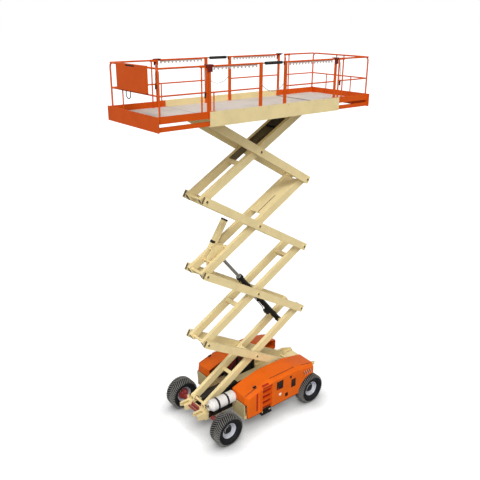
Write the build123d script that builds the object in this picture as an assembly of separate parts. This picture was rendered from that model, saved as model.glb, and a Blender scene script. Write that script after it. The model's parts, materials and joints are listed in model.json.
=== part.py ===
"""Rough-terrain scissor lift with two roll-out deck extensions, raised to working height.

Frame: +X towards the steered end, +Y left, +Z up. The origin is on the ground, midway between
the axles. Millimetres. Each node is written to parts/NODE.step.
"""
import os
from math import atan2, cos, degrees, hypot, radians, sin, sqrt

from build123d import *

os.makedirs("parts", exist_ok=True)

# ---------------------------------------------------------------- driving sizes
levels = 4
arm_length = 3735          # pin to pin
arm_depth = 196
arm_width = 100
arm_angle = 30             # the arms' slope as the machine stands
outer_arm_y = 371          # middle of an outer arm
inner_arm_y = 245          # middle of an inner arm
pin_radius = 35
running_gap = 0.5          # pins in their bores, and faces that slide past each other
base_pin_x = 1569          # front pins, the fixed side of the stack
base_pin_z = 751

wheelbase = 2950
overall_width = 2412       # over the tyres
tyre_radius = 424
tyre_width = 386
rim_radius = 212           # where the tyre's bead sits
kingpin_inset = 326        # from the tyres' outer faces to the kingpins
spindle_inset = 136
hood_inset = 86            # from the tyres' outer faces to the hoods' outer walls

deck_above_pin = 112       # deck surface over the top pins
main_front_x = 1900
main_rear_x = -2007
front_reach = 1237         # how far each extension stands out of the main deck
rear_reach = 1130
deck_half_width = 1031
toe_height = 152           # toe board over the deck surface
panel_drop = 159           # side panel below the deck surface
rail_height = 1067         # top rail's upper edge over the deck surface
rail_radius = 19
mid_rail_radius = 16
upright_radius = 14
rail_inset = 36            # from the side panel's face to the main rail's axis
extension_inset = 60       # from the side panel's face to the extensions' toe boards
extension_rail_inset = 86

hood_front_x = 880
hood_rear_x = -1600
hood_inner_y = 515
hood_wall = 8

# ---------------------------------------------------------------- worked out from them
slope = radians(arm_angle)
level_height = arm_length * sin(slope)
arm_span = arm_length * cos(slope)
rear_pin_x = base_pin_x - arm_span
pin_z = [base_pin_z + level_height * level for level in range(levels + 1)]
axle_x = wheelbase / 2
axle_z = tyre_radius
tyre_outer_y = overall_width / 2
tyre_middle_y = tyre_outer_y - tyre_width / 2
kingpin_y = tyre_outer_y - kingpin_inset
spindle_end_y = tyre_outer_y - spindle_inset
hood_outer_y = tyre_outer_y - hood_inset
outer_arm_face = outer_arm_y + arm_width / 2
deck_z = pin_z[levels] + deck_above_pin
toe_z = deck_z + toe_height
panel_z = deck_z - panel_drop
top_rail_z = deck_z + rail_height - rail_radius
mid_rail_z = deck_z + rail_height / 2
main_rail_y = deck_half_width - rail_inset
extension_rail_y = deck_half_width - extension_rail_inset
front_end_x = main_front_x + front_reach
rear_end_x = main_rear_x - rear_reach


# ---------------------------------------------------------------- ways of making solids
def block(x, y, z):
    """A box from its low and its high value on each axis."""
    middle = Pos((x[0] + x[1]) / 2, (y[0] + y[1]) / 2, (z[0] + z[1]) / 2)
    return middle * Box(x[1] - x[0], y[1] - y[0], z[1] - z[0])


def round_bar(start, end, radius):
    """A round bar between two points."""
    run = Vector(*end) - Vector(*start)
    return extrude(Plane(origin=start, z_dir=run) * Circle(radius), amount=run.length)


def bar_y(x, y, z, radius):
    return round_bar((x, y[0], z), (x, y[1], z), radius)


def plate_y(outline, y):
    """A plate across Y, from its outline of (x, z) points."""
    face = make_face(Polyline(*[(px, y[0], pz) for px, pz in outline], close=True))
    return extrude(face, amount=y[1] - y[0], dir=(0, 1, 0))


def plate_x(outline, x):
    """A plate across X, from its outline of (y, z) points."""
    face = make_face(Polyline(*[(x[0], py, pz) for py, pz in outline], close=True))
    return extrude(face, amount=x[1] - x[0], dir=(1, 0, 0))


def both_sides(shape):
    """The shape and its mirror image across the machine's middle plane."""
    return [shape, mirror(shape, about=Plane.XZ)]


def fuse(*shapes):
    whole = shapes[0]
    for shape in shapes[1:]:
        whole = whole + shape
    return whole


def save(node, *shapes):
    solids = [solid for shape in shapes for solid in shape.solids()]
    export_step(Compound(label=node, children=solids), f"parts/{node}.step")


# ---------------------------------------------------------------- scissor arms
bore_radius = pin_radius + running_gap
arm_overhang = 70          # the arm's end past its pin
square_corner = 20
round_corner = 65          # where the end turns close under the deck or over the frame
boss_radius = 62
cap_radius = 50
cap_thickness = 14
stack_brace_half_y = inner_arm_y - arm_width / 2


def arm(front, rear, y, rounded=None):
    """One arm between its pins at front and rear, (x, z): a box tube with square ends, or one round end."""
    middle = ((front[0] + rear[0]) / 2, y, (front[1] + rear[1]) / 2)
    along = Vector(front[0] - rear[0], 0, front[1] - rear[1])
    plane = Plane(origin=middle, x_dir=along, z_dir=(0, -1, 0))
    profile = Rectangle(along.length + 2 * arm_overhang, arm_depth)
    corners = profile.vertices().sort_by(Axis.X)
    profile = fillet(corners[:2], round_corner if rounded == "rear" else square_corner)
    corners = profile.vertices().sort_by(Axis.X)
    profile = fillet([corner for corner in corners if corner.X > along.length / 2],
                     round_corner if rounded == "front" else square_corner)
    return extrude(plane * profile, amount=arm_width / 2, both=True)


def pin_bores(points, y, radius=bore_radius):
    reach = arm_width / 2 + 1
    return [bar_y(x, (y - reach, y + reach), z, radius) for x, z in points]


def on_inner_arm(level, from_front, above):
    """A point (x, z) on an inner arm: its distance from the front pin, and above the middle line."""
    x = base_pin_x - from_front * cos(slope) + above * sin(slope)
    z = pin_z[level - 1] + from_front * sin(slope) + above * cos(slope)
    return x, z


def outer_arms(level):
    """An outer pair: front top to rear bottom, with a pin, an axle or plain bores at its ends."""
    front = (base_pin_x, pin_z[level])
    rear = (rear_pin_x, pin_z[level - 1])
    middle = (rear_pin_x + arm_span / 2, (front[1] + rear[1]) / 2)
    bores = [middle]
    if level > 1:
        bores.append(rear)
    if level < levels:
        bores.append(front)
    arms = []
    rounded = "rear" if level == 1 else "front" if level == levels else None
    for side in (1, -1):
        piece = arm(front, rear, side * outer_arm_y, rounded)
        for bore in pin_bores(bores, side * outer_arm_y):
            piece = piece - bore
        arms.append(piece)
    if level == 1:
        arms = [fuse(*arms, bar_y(rear[0], (-track_roller_end, track_roller_end), rear[1], pin_radius),
                     *both_sides(bar_y(rear[0], (track_roller_start, track_roller_end), rear[1],
                                       track_roller_radius)))]
    if level == levels:
        arms = [fuse(*arms, bar_y(front[0], (-deck_ear_end, deck_ear_end), front[1], pin_radius))]
    return arms


# Cross pieces of the inner pairs. Columns: level, distance from the front pin, height above the
# arm's middle line, half depth along the arm, half height.
inner_braces = [
    (1, 1090, -60, 50, 20),
    (1, 1800, 70, 60, 20),
    (2, 1280, 70, 60, 20),
    (2, 3250, 0, 50, 60),
    (3, 2880, 74, 700, 12),
    (3, 3250, 0, 50, 60),
    (4, 1280, 70, 60, 20),
    (4, 3250, 0, 50, 60),
]
# The lever's bracket on the third pair: its side outline, as distances from the front pin and
# heights above the middle line, its two plates across Y, and its cross tubes. Columns of the
# tubes: distance, height, low and high Y.
bracket_outline = [(240, 30), (330, 190), (560, 262), (760, 250), (960, 70), (960, 30)]
bracket_plates = ((96, 116), (-40, -20))
bracket_tubes = (
    (330, 100, bracket_plates[1][0], stack_brace_half_y),
    (600, 222, bracket_plates[1][0], bracket_plates[0][1]),
    (890, 78, bracket_plates[0][0], stack_brace_half_y),
)
bracket_tube_radius = 28
lever_pivot_at = 400
cylinder_base_at = 3130
cylinder_eye_at = (700, -115)
eye_ear_half_height = 43


def inner_arms(level):
    """An inner pair: front bottom to rear top, welded to its cross tubes and braces."""
    front = (base_pin_x, pin_z[level - 1])
    rear = (rear_pin_x, pin_z[level])
    middle = ((front[0] + rear[0]) / 2, (front[1] + rear[1]) / 2)
    rounded = "front" if level == 1 else "rear" if level == levels else None
    pieces = [arm(front, rear, side * inner_arm_y, rounded) for side in (1, -1)]
    inner_face = inner_arm_y + arm_width / 2
    boss_end = outer_arm_y - arm_width / 2 - running_gap
    cap_start = outer_arm_face + running_gap
    ends = []
    if level == 1:
        pieces.append(bar_y(front[0], (-base_ear_end, base_ear_end), front[1], pin_radius))
    else:
        ends.append(front)
    if level == levels:
        pieces.append(bar_y(rear[0], (-deck_slider_end, deck_slider_end), rear[1], pin_radius))
        pieces += both_sides(bar_y(rear[0], (deck_slider_start, deck_slider_end), rear[1], deck_slider_radius))
    else:
        ends.append(rear)
    for x, z in ends:
        pieces.append(bar_y(x, (-cap_start, cap_start), z, pin_radius))
    for side in (1, -1):
        pieces.append(bar_y(middle[0], sorted((side * inner_face, side * cap_start)), middle[1], pin_radius))
    for x, z in ends + [middle]:
        pieces += both_sides(bar_y(x, (inner_face, boss_end), z, boss_radius))
        pieces += both_sides(bar_y(x, (cap_start, cap_start + cap_thickness), z, cap_radius))
    for row_level, along, above, half_along, half_high in inner_braces:
        if row_level == level:
            x, z = on_inner_arm(level, along, above)
            brace = Box(2 * half_along, 2 * stack_brace_half_y, 2 * half_high)
            pieces.append(Pos(x, 0, z) * Rot(0, arm_angle, 0) * brace)
    if level == 1:
        x, z = on_inner_arm(1, cylinder_base_at, 0)
        pieces.append(bar_y(x, (-stack_brace_half_y, stack_brace_half_y), z, pin_radius))
    if level == 3:
        x, z = on_inner_arm(3, lever_pivot_at, 0)
        pieces.append(bar_y(x, (-stack_brace_half_y, lever_y[1]), z, pin_radius))
        # the two stubs that the rod's pin sits between
        x, z = on_inner_arm(3, *cylinder_eye_at)
        for near, far in ((cylinder_y + rod_lane, stack_brace_half_y), (-stack_brace_half_y, cylinder_y - rod_lane)):
            pieces.append(bar_y(x, (near, far), z, pin_radius + 3))
        ear = Pos(x, stack_brace_half_y - 10, z) * Rot(0, arm_angle, 0) * Box(110, 20, 2 * eye_ear_half_height)
        pieces += both_sides(ear)
        for plate in bracket_plates:
            pieces.append(plate_y([on_inner_arm(3, *point) for point in bracket_outline], sorted(plate)))
        for along, above, near_y, far_y in bracket_tubes:
            x, z = on_inner_arm(3, along, above)
            pieces.append(bar_y(x, (near_y, far_y), z, bracket_tube_radius))
    return [fuse(*pieces)]


def arm_junction_box():
    """The dark box of hoses and valves between the top inner arms, under the deck."""
    x, z = on_inner_arm(levels, 2880, 36)
    half_y = stack_brace_half_y - 0.3
    return Pos(x, 0, z) * Rot(0, arm_angle, 0) * Box(350, 2 * half_y, 118)


# ---------------------------------------------------------------- lift cylinder and lever
cylinder_y = 35
barrel_radius = 70
barrel_length = 2227
rod_radius = 42
eye_radius = 75
eye_half_width = 40
rod_lane = 43              # half the width that the rod and its pin sweep


def cylinder_frame():
    """The cylinder's base, its direction and its length between pins."""
    base = on_inner_arm(1, cylinder_base_at, 0)
    eye = on_inner_arm(3, *cylinder_eye_at)
    run = Vector(eye[0] - base[0], 0, eye[1] - base[1])
    return Vector(base[0], cylinder_y, base[1]), run.normalized(), run.length


def lift_barrel():
    base, way, _ = cylinder_frame()
    eye = bar_y(base.X, (cylinder_y - eye_half_width, cylinder_y + eye_half_width), base.Z, eye_radius)
    tube_start = 55
    tube = round_bar(tuple(base + way * tube_start), tuple(base + way * barrel_length), barrel_radius)
    gland = round_bar(tuple(base + way * (barrel_length - 70)), tuple(base + way * barrel_length), barrel_radius + 12)
    across = Vector(way.Z, 0, -way.X)
    valve_at = base + way * 560 + across * (barrel_radius + 30)
    valve = Plane(origin=tuple(valve_at), x_dir=way, z_dir=across) * Box(170, 110, 90)
    whole = fuse(eye, tube, gland, valve)
    bore = round_bar(tuple(base + way * 250), tuple(base + way * (barrel_length + 1)), rod_radius + running_gap)
    pin_bore = bar_y(base.X, (cylinder_y - eye_half_width - 1, cylinder_y + eye_half_width + 1), base.Z, bore_radius)
    return whole - bore - pin_bore


def lift_rod():
    base, way, length = cylinder_frame()
    tip = base + way * length
    rod_start = length - 1700
    shaft = round_bar(tuple(base + way * rod_start), tuple(base + way * (length - 45)), rod_radius)
    eye = bar_y(tip.X, (cylinder_y - eye_half_width, cylinder_y + eye_half_width), tip.Z, 65)
    pin = bar_y(tip.X, (cylinder_y - rod_lane + 0.5, cylinder_y + rod_lane - 0.5), tip.Z, pin_radius)
    return fuse(shaft, eye, pin)


lever_y = (-188, -54)
lever_length = 1100
lever_depth = 150          # at its pivot
lever_tip_depth = 112
lever_wall = 8
lever_raise = 27.6         # the lever's slope above the inner arm that carries it


def lift_lever():
    """An open box lever on the third inner pair, with a dark pad in its free end."""
    x, z = on_inner_arm(3, lever_pivot_at, 0)
    way_angle = radians(180 - arm_angle - lever_raise)
    way = Vector(cos(way_angle), 0, sin(way_angle))
    middle_y = sum(lever_y) / 2
    width = lever_y[1] - lever_y[0]
    centre = Vector(x, middle_y, z) + way * (lever_length / 2)
    plane = Plane(origin=tuple(centre), x_dir=way, z_dir=(0, -1, 0))
    taper = make_face(Polyline((-lever_length / 2, -lever_depth / 2), (lever_length / 2, -lever_tip_depth / 2),
                               (lever_length / 2, lever_tip_depth / 2), (-lever_length / 2, lever_depth / 2), close=True))
    outside = extrude(plane * taper, amount=width / 2, both=True)
    hub = bar_y(x, lever_y, z, lever_depth / 2)
    hollow_length = lever_length - 300
    hollow_centre = Vector(x, middle_y, z) + way * (300 + hollow_length / 2)
    hollow = Plane(origin=tuple(hollow_centre), x_dir=way, z_dir=(0, -1, 0)) * Box(
        hollow_length + 2, lever_tip_depth - 2 * lever_wall, width - 2 * lever_wall)
    bore = bar_y(x, (lever_y[0] - 1, lever_y[1] + 1), z, bore_radius)
    return outside + hub - hollow - bore


# ---------------------------------------------------------------- chassis
track_roller_radius = 74
track_roller_start = outer_arm_face + 22
track_roller_end = track_roller_start + 46
track_wall = 12
track_front_x = -760
track_rear_x = -2260
track_lip_rear_x = -1880    # past it the roller, lowered, needs no lip over it
track_gap = 1
beam_top_z = 640
beam_bottom_z = 430
beam_y = (170, 420)
base_ear_thickness = 20
tray_top_z = 510
tray_z = 438
step_z = 330                # under the folding steps
hood_hinge_x = (-680, -100)    # ahead of the roller tracks
hood_post_foot_y = beam_y[1] + 0.3
hood_top_z = 1340
hood_hinge_y = (hood_inner_y - 15, hood_inner_y - running_gap)
base_ear_end = inner_arm_y + arm_width / 2 + 25


frame_x = (-2240, 1700)
cross_members = ((-2240, -2160), (-1200, -1120), (-200, -120), (700, 780), (1620, 1700))
outriggers = (-870, -330, 440, 770)
horn_end_x = 1940
horn_low_z = 520
# The webs of a horn across Y, and the flange on each.
horn_webs = (((180, 200), (180, 250)), ((390, 410), (340, 410)))


def chassis_frame():
    """Two box beams with cross members, the ears of the fixed pivot and the horns past the front axle."""
    pieces = []
    ear_faces = (inner_arm_y + arm_width / 2 + running_gap,
                 inner_arm_y - arm_width / 2 - running_gap - base_ear_thickness)
    for side in (1, -1):
        pieces.append(block(frame_x, sorted((side * beam_y[0], side * beam_y[1])), (beam_bottom_z, beam_top_z)))
        for ear_y in ear_faces:
            ear = plate_y([(base_pin_x - 150, beam_top_z - 5), (base_pin_x + 130, beam_top_z - 5),
                           (base_pin_x + 62, base_pin_z + 62), (base_pin_x - 62, base_pin_z + 62)],
                          sorted((side * ear_y, side * (ear_y + base_ear_thickness))))
            pieces.append(ear - bar_y(base_pin_x, sorted((side * (ear_y - 1), side * (ear_y + base_ear_thickness + 1))),
                                      base_pin_z, bore_radius))
        # the horns past the front axle: open channels with a flange along each upper edge, and a lug
        for web_y, flange_y in horn_webs:
            pieces.append(plate_y([(frame_x[1] - 50, beam_bottom_z), (horn_end_x, horn_low_z),
                                   (horn_end_x, beam_top_z), (frame_x[1] - 50, beam_top_z)],
                                  sorted((side * web_y[0], side * web_y[1]))))
            pieces.append(block((frame_x[1] - 10, horn_end_x), sorted((side * flange_y[0], side * flange_y[1])),
                                (beam_top_z - 12, beam_top_z)))
        pieces.append(block((frame_x[1] - 10, horn_end_x - 120), sorted((side * horn_webs[0][0][0],
                            side * horn_webs[1][0][1])), (horn_low_z, horn_low_z + 12)))
        pieces.append(block((1630, 1690), sorted((side * 392, side * 416)), (beam_top_z - 1, beam_top_z + 110)))
    for cross_x in cross_members:
        pieces.append(block(cross_x, (-beam_y[0] - 5, beam_y[0] + 5), (beam_bottom_z + 30, beam_top_z - 10)))
    whole = fuse(*pieces)
    for x in (axle_x, -axle_x):
        whole = whole - bar_y(x, (-500, 500), axle_z, axle_tube_radius + 0.3)
    return whole


def roller_track(side):
    """The channel that the lowest rollers run in, on its web from the frame's side."""
    web_y = track_roller_end + track_gap + 6
    web = sorted((side * web_y, side * (web_y + track_wall)))
    lip = sorted((side * (track_roller_start - 4), side * (web_y + track_wall)))
    low = base_pin_z - track_roller_radius - running_gap
    high = base_pin_z + track_roller_radius + running_gap
    x = (track_rear_x, track_front_x)
    web_outline = [(track_rear_x, beam_top_z - 40), (track_front_x, beam_top_z - 40), (track_front_x, high + track_wall),
                   (track_lip_rear_x, high + track_wall), (track_rear_x, low + 30)]
    return fuse(plate_y(web_outline, web),
                block(x, lip, (low - track_wall, low)),
                block((track_lip_rear_x, track_front_x), lip, (high, high + track_wall)),
                block(x, sorted((side * (beam_y[1] + 0.3), side * (web_y + 1))), (beam_top_z - 40, beam_top_z)))


def side_tray(side):
    """The floor under one hood on its outriggers, with the plate that closes its front."""
    outer = hood_outer_y - 40
    plate_y0, plate_y1 = hood_inner_y + 25, hood_outer_y - 80
    pieces = [block((-950, 800), sorted((side * (hood_inner_y + 5), side * outer)), (tray_z, tray_z + 12))]
    for x in outriggers:
        pieces.append(block((x - 30, x + 30), sorted((side * (beam_y[1] + 0.3), side * outer)),
                            (tray_z + 11, tray_top_z)))
    pieces.append(block((hood_front_x + 6, hood_front_x + 16), sorted((side * plate_y0, side * plate_y1)),
                        (tray_z + 12, nose_open_z - 6)))
    pieces.append(block((740, hood_front_x + 16), sorted((side * plate_y0, side * plate_y1)), (tray_z, tray_z + 13)))
    # the folding step that hangs under the hood's recess
    x, y = step_recess, (hood_outer_y - 130, hood_outer_y - 15)
    for row_y, row_z in ((y, (step_z, step_z + 12)), ((y[1] - 8, y[1]), (step_z, step_z + 45)),
                         ((y[0], y[0] + 8), (step_z, step_z + 45))):
        pieces.append(block(x, sorted((side * row_y[0], side * row_y[1])), row_z))
    for hanger_x in (x[0] + 30, x[1] - 60):
        pieces.append(block((hanger_x, hanger_x + 30), sorted((side * (outer - 22), side * (outer - 10))),
                            (step_z + 11, tray_z + 1)))
    return fuse(*pieces)


def hood_post(hinge_x, side):
    """A post from the frame's side to the hood's hinge."""
    y = (hood_hinge_y[0], hood_hinge_y[1])
    pin_y = sum(hood_hinge_y) / 2
    upright = block((hinge_x - 25, hinge_x + 25), y, (beam_top_z - 60, hood_top_z - 4))
    foot = block((hinge_x - 25, hinge_x + 25), (hood_post_foot_y, y[1]), (beam_top_z - 60, beam_top_z - 42))
    knuckle_tube = round_bar((hinge_x - 25, pin_y, hood_top_z - 4), (hinge_x + 25, pin_y, hood_top_z - 4), 7)
    whole = fuse(upright, foot, knuckle_tube)
    return whole if side > 0 else mirror(whole, about=Plane.XZ)


axle_tube_radius = 62
yoke_half_height = 120
yoke_thickness = 26


def axle_beam(x, steered):
    """A driven axle: its tube, its differential housing, and what holds the wheel ends."""
    end = kingpin_y - 70 if steered else kingpin_y
    pieces = [bar_y(x, (-end, end), axle_z, axle_tube_radius)]
    pieces.append(Pos(x, 0, axle_z) * Rot(90, 0, 0) * Cylinder(132, 150))
    pieces.append(round_bar((x, 0, axle_z), (x - 190 * (1 if x > 0 else -1), 0, axle_z), 68))
    for side in (1, -1):
        if steered:
            pieces.append(block((x - 40, x + 40), sorted((side * (end - 25), side * end)),
                                (axle_z - yoke_half_height, axle_z + yoke_half_height)))
            for low in (axle_z - yoke_half_height, axle_z + yoke_half_height - yoke_thickness):
                pieces.append(block((x - 40, x + 40), sorted((side * (end - 25), side * kingpin_y)),
                                    (low, low + yoke_thickness)))
                pieces.append(Pos(x, side * kingpin_y, low + yoke_thickness / 2) * Cylinder(44, yoke_thickness))
        else:
            pieces.append(bar_y(x, sorted((side * (kingpin_y + 52), side * (kingpin_y + 108))), axle_z, 150))
            pieces.append(bar_y(x, sorted((side * (kingpin_y - 60), side * (kingpin_y + 60))), axle_z, 95))
            pieces.append(bar_y(x, sorted((side * kingpin_y, side * spindle_end_y)), axle_z, spindle_radius))
    whole = fuse(*pieces)
    if steered:
        for side in (1, -1):
            whole = whole - Pos(x, side * kingpin_y, axle_z) * Cylinder(kingpin_radius + running_gap,
                                                                       2 * yoke_half_height + 2)
    return whole


kingpin_radius = 20
spindle_radius = 55
steer_arm_length = 140
steer_arm_x = axle_x - steer_arm_length
steer_arm_y = kingpin_y - 20


def knuckle(side):
    """A steering knuckle: its kingpin, hub carrier, wheel spindle and steering arm."""
    inner_half = yoke_half_height - yoke_thickness - running_gap
    y0 = side * kingpin_y
    pieces = [Pos(axle_x, y0, axle_z) * Cylinder(42, 2 * inner_half),
              Pos(axle_x, y0, axle_z) * Cylinder(kingpin_radius, 2 * yoke_half_height + 16),
              bar_y(axle_x, sorted((y0, side * (kingpin_y + 75))), axle_z, 88),
              bar_y(axle_x, sorted((side * (kingpin_y + 52), side * (kingpin_y + 108))), axle_z, 150),
              bar_y(axle_x, sorted((y0, side * spindle_end_y)), axle_z, spindle_radius)]
    arm_z = axle_z - 60
    pieces.append(block((steer_arm_x - 20, axle_x), sorted((side * (steer_arm_y - 22), side * (steer_arm_y + 22))),
                        (arm_z - 14, arm_z + 14)))
    return fuse(*pieces)


def tie_rod():
    """The bar that joins the steering arms, under them."""
    z = axle_z - 60 - 14 - running_gap
    pieces = [round_bar((steer_arm_x, -steer_arm_y + 20, z - 20), (steer_arm_x, steer_arm_y - 20, z - 20), 16)]
    for side in (1, -1):
        pieces.append(Pos(steer_arm_x, side * (steer_arm_y - 8), z - 20) * Cylinder(22, 40))
    return fuse(*pieces)


# ---------------------------------------------------------------- wheels
lug_count = 14             # lugs in each of the two rows
lug_height = 17
lug_slant = 20
lug_length = 172
lug_width = 60
# Half of the tyre's section, from the bead to the middle. Columns: distance from the middle, radius.
tyre_section = [
    (118, rim_radius + 20),
    (172, 256),
    (193, 318),
    (186, 362),
    (148, tyre_radius - lug_height),
]


def tyre_body():
    """A tyre round the Y axis, with two rows of slanted lugs, each over one flat facet of the tread."""
    facets = 2 * lug_count
    turn = Rot(90, 0, 0) * Rot(0, 0, 180 / facets)
    rows = tyre_section + [(-across, radius) for across, radius in reversed(tyre_section)]
    whole = loft([Pos(0, across, 0) * turn * RegularPolygon(radius, facets) for across, radius in rows], ruled=True)
    bore = turn * RegularPolygon(rim_radius + 0.3, facets, major_radius=False)
    whole = whole - extrude(bore, amount=tyre_width, both=True)
    # a lug's corners lie on the tyre's radius, and one of them is its lowest point
    reach = (lug_width * cos(radians(lug_slant)) + lug_length * sin(radians(lug_slant))) / 2
    top = sqrt(tyre_radius ** 2 - reach ** 2)
    base = tyre_radius - lug_height - 10
    for index in range(facets):
        lane = 1 if index % 2 else -1
        lug = Pos((top + base) / 2, lane * 92, 0) * Rot(lane * lug_slant, 0, 0) * Box(top - base, lug_length, lug_width)
        whole = whole + Rot(0, 90 + degrees(atan2(reach, top)) + index * 360 / facets, 0) * lug
    return whole


def rim(x, side):
    """A dished steel wheel with hand holes and a hub, seated on the spindle."""
    width = 250
    barrel = [(rim_radius, -width / 2), (rim_radius, width / 2), (rim_radius - 14, width / 2), (rim_radius - 14, -width / 2)]
    disc = [(spindle_radius + running_gap, 40), (150, 40), (rim_radius - 10, 5), (rim_radius - 10, -9),
            (145, 26), (spindle_radius + running_gap, 26)]
    rings = []
    for outline in (barrel, disc):
        face = make_face(Polyline(*[(radius, across, 0) for radius, across in outline], close=True))
        rings.append(revolve(face, axis=Axis.Y))
    hub = bar_y(0, (30, 80), 0, 92)
    whole = fuse(*rings, hub)
    bore_end = spindle_end_y + running_gap - tyre_middle_y
    whole = whole - bar_y(0, (-width, bore_end), 0, spindle_radius + running_gap)
    for index in range(6):
        hole = Rot(0, index * 60, 0) * Pos(150, 20, 0) * Rot(90, 0, 0) * Cylinder(18, 120)
        whole = whole - hole
    if side < 0:
        whole = Rot(180, 0, 0) * whole
    return Pos(x, side * tyre_middle_y, axle_z) * whole


# ---------------------------------------------------------------- engine, tank and hoods
engine_x = (-820, 60)
engine_top_z = 800
cover_top_z = 1235


def engine_block():
    return block(engine_x, (-hood_outer_y + 110, -hood_inner_y - 25), (tray_top_z + running_gap, engine_top_z))


def engine_cover():
    """The shroud over the engine, with its front edge sloped and its top edges rounded."""
    outline = [(engine_x[0] + 40, engine_top_z + 0.3), (engine_x[1], engine_top_z + 0.3),
               (engine_x[1], cover_top_z - 90), (engine_x[1] - 60, cover_top_z), (engine_x[0] + 40, cover_top_z)]
    cover = plate_y(outline, (-hood_outer_y + 150, -hood_inner_y - 30))
    return fillet(cover.edges().filter_by(Axis.X).group_by(Axis.Z)[-1], 30)


tank_radius = 155
tank_y = 615
tank_z = 970
tank_x = (900, 1700)
strap_x = (1200, 1500)
strap_thickness = 4
cradle_y = 442               # clear of the arms' pin caps when the stack is folded


def fuel_tank():
    """The gas bottle: a cylinder with domed ends."""
    dome = 60
    length = tank_x[1] - tank_x[0]
    outline = [(0, 0), (tank_radius * 0.75, 14), (tank_radius, dome), (tank_radius, length - dome),
               (tank_radius * 0.75, length - 14), (0, length)]
    face = make_face(Polyline(*[(radius, 0, along) for radius, along in outline], close=True))
    bottle = Pos(tank_x[0], tank_y, tank_z) * Rot(0, 90, 0) * revolve(face, axis=Axis.Z)
    # the valve's guard ring and its neck, at the front end
    end = (tank_x[1], tank_y, tank_z)
    guard = round_bar((end[0] - 12, *end[1:]), (end[0] + 50, *end[1:]), 84)
    guard = guard - round_bar((end[0] - 13, *end[1:]), (end[0] + 51, *end[1:]), 78)
    neck = round_bar((end[0] - 5, *end[1:]), (end[0] + 38, *end[1:]), 24)
    return fuse(bottle, guard, neck)


def tank_cradle():
    """Two saddles with straps round the gas bottle, on posts from the frame."""
    pieces = []
    for x in strap_x:
        ring = Pos(x, tank_y, tank_z) * Rot(0, 90, 0) * (
            Cylinder(tank_radius + strap_thickness + 0.4, 44) - Cylinder(tank_radius + 0.4, 46))
        post = block((x - 22, x + 22), (cradle_y, cradle_y + 14), (beam_top_z - 40, tank_z + 20))
        shelf = block((x - 22, x + 22), (cradle_y, cradle_y + 26), (tank_z - 90, tank_z - 60))
        foot = block((x - 60, x + 60), (beam_y[1] + 0.3, cradle_y + 1), (beam_top_z - 130, beam_top_z))
        link = block((x - 22, x + 22), (cradle_y + 1, tank_y - tank_radius - 1), (tank_z - 20, tank_z + 20))
        pieces.append(fuse(ring, post, foot, link, shelf))
    rail = block(strap_x, (cradle_y + 3, cradle_y + 13), (tank_z - 90, tank_z - 60))
    return fuse(*pieces, rail)


# Side outline of a hood, from the front bottom corner round to the rear. Columns: x and z at the
# inner edge, then how far the outer wall's outline lies back from them in x and below them in z.
hood_outline = [
    (hood_front_x - 40, 460, 5, 0),
    (hood_front_x, 620, 30, 0),
    (hood_front_x, 1130, 85, 75),
    (560, 1235, 45, 95),
    (0, hood_top_z, 0, 105),
    (-900, hood_top_z, -20, 105),
    (hood_rear_x, 1200, -45, 95),
    (hood_rear_x, 930, -45, 0),
    (-985, 480, 0, 0),
]
arch_radius = 490
hood_shoulder_y = hood_outer_y - 115
hood_roof_fall = 22
nose_open_z = 868          # the front plate shows below this
# Openings in the outer wall. Columns: rear x, front x, low z, high z.
hood_windows = [
    (-400, -160, 905, 1165),
    (-870, -700, 770, 1030),
    (-590, -480, 570, 690),
]
step_recess = (0, 340)     # along x
step_recess_depth = 95
step_rungs = (600, 770, 940)
louvre_slots = (-1190, -1270, -1350, -1430)
louvre_z = 1035
side_lamp = (-290, 745)
side_lamp_radius = 36


def hood_form(wall):
    """The hood's solid form, moved inwards by a wall."""
    inner = inset_outline([(x, z) for x, z, _, _ in hood_outline], wall) if wall else [
        (x, z) for x, z, _, _ in hood_outline]
    outer = [(x - back, z - drop) for x, z, back, drop in hood_outline]
    outer = inset_outline(outer, wall) if wall else outer
    shoulder = [(x, z - (hood_roof_fall if z > 1000 else 0)) for x, z in inner]
    start = hood_inner_y - (1 if wall else 0)
    sections = [(start, inner), (hood_shoulder_y - wall * 0.6, shoulder), (hood_outer_y - wall, outer)]
    return loft([make_face(Polyline(*[(x, y, z) for x, z in outline], close=True)) for y, outline in sections],
                ruled=True)


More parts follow.
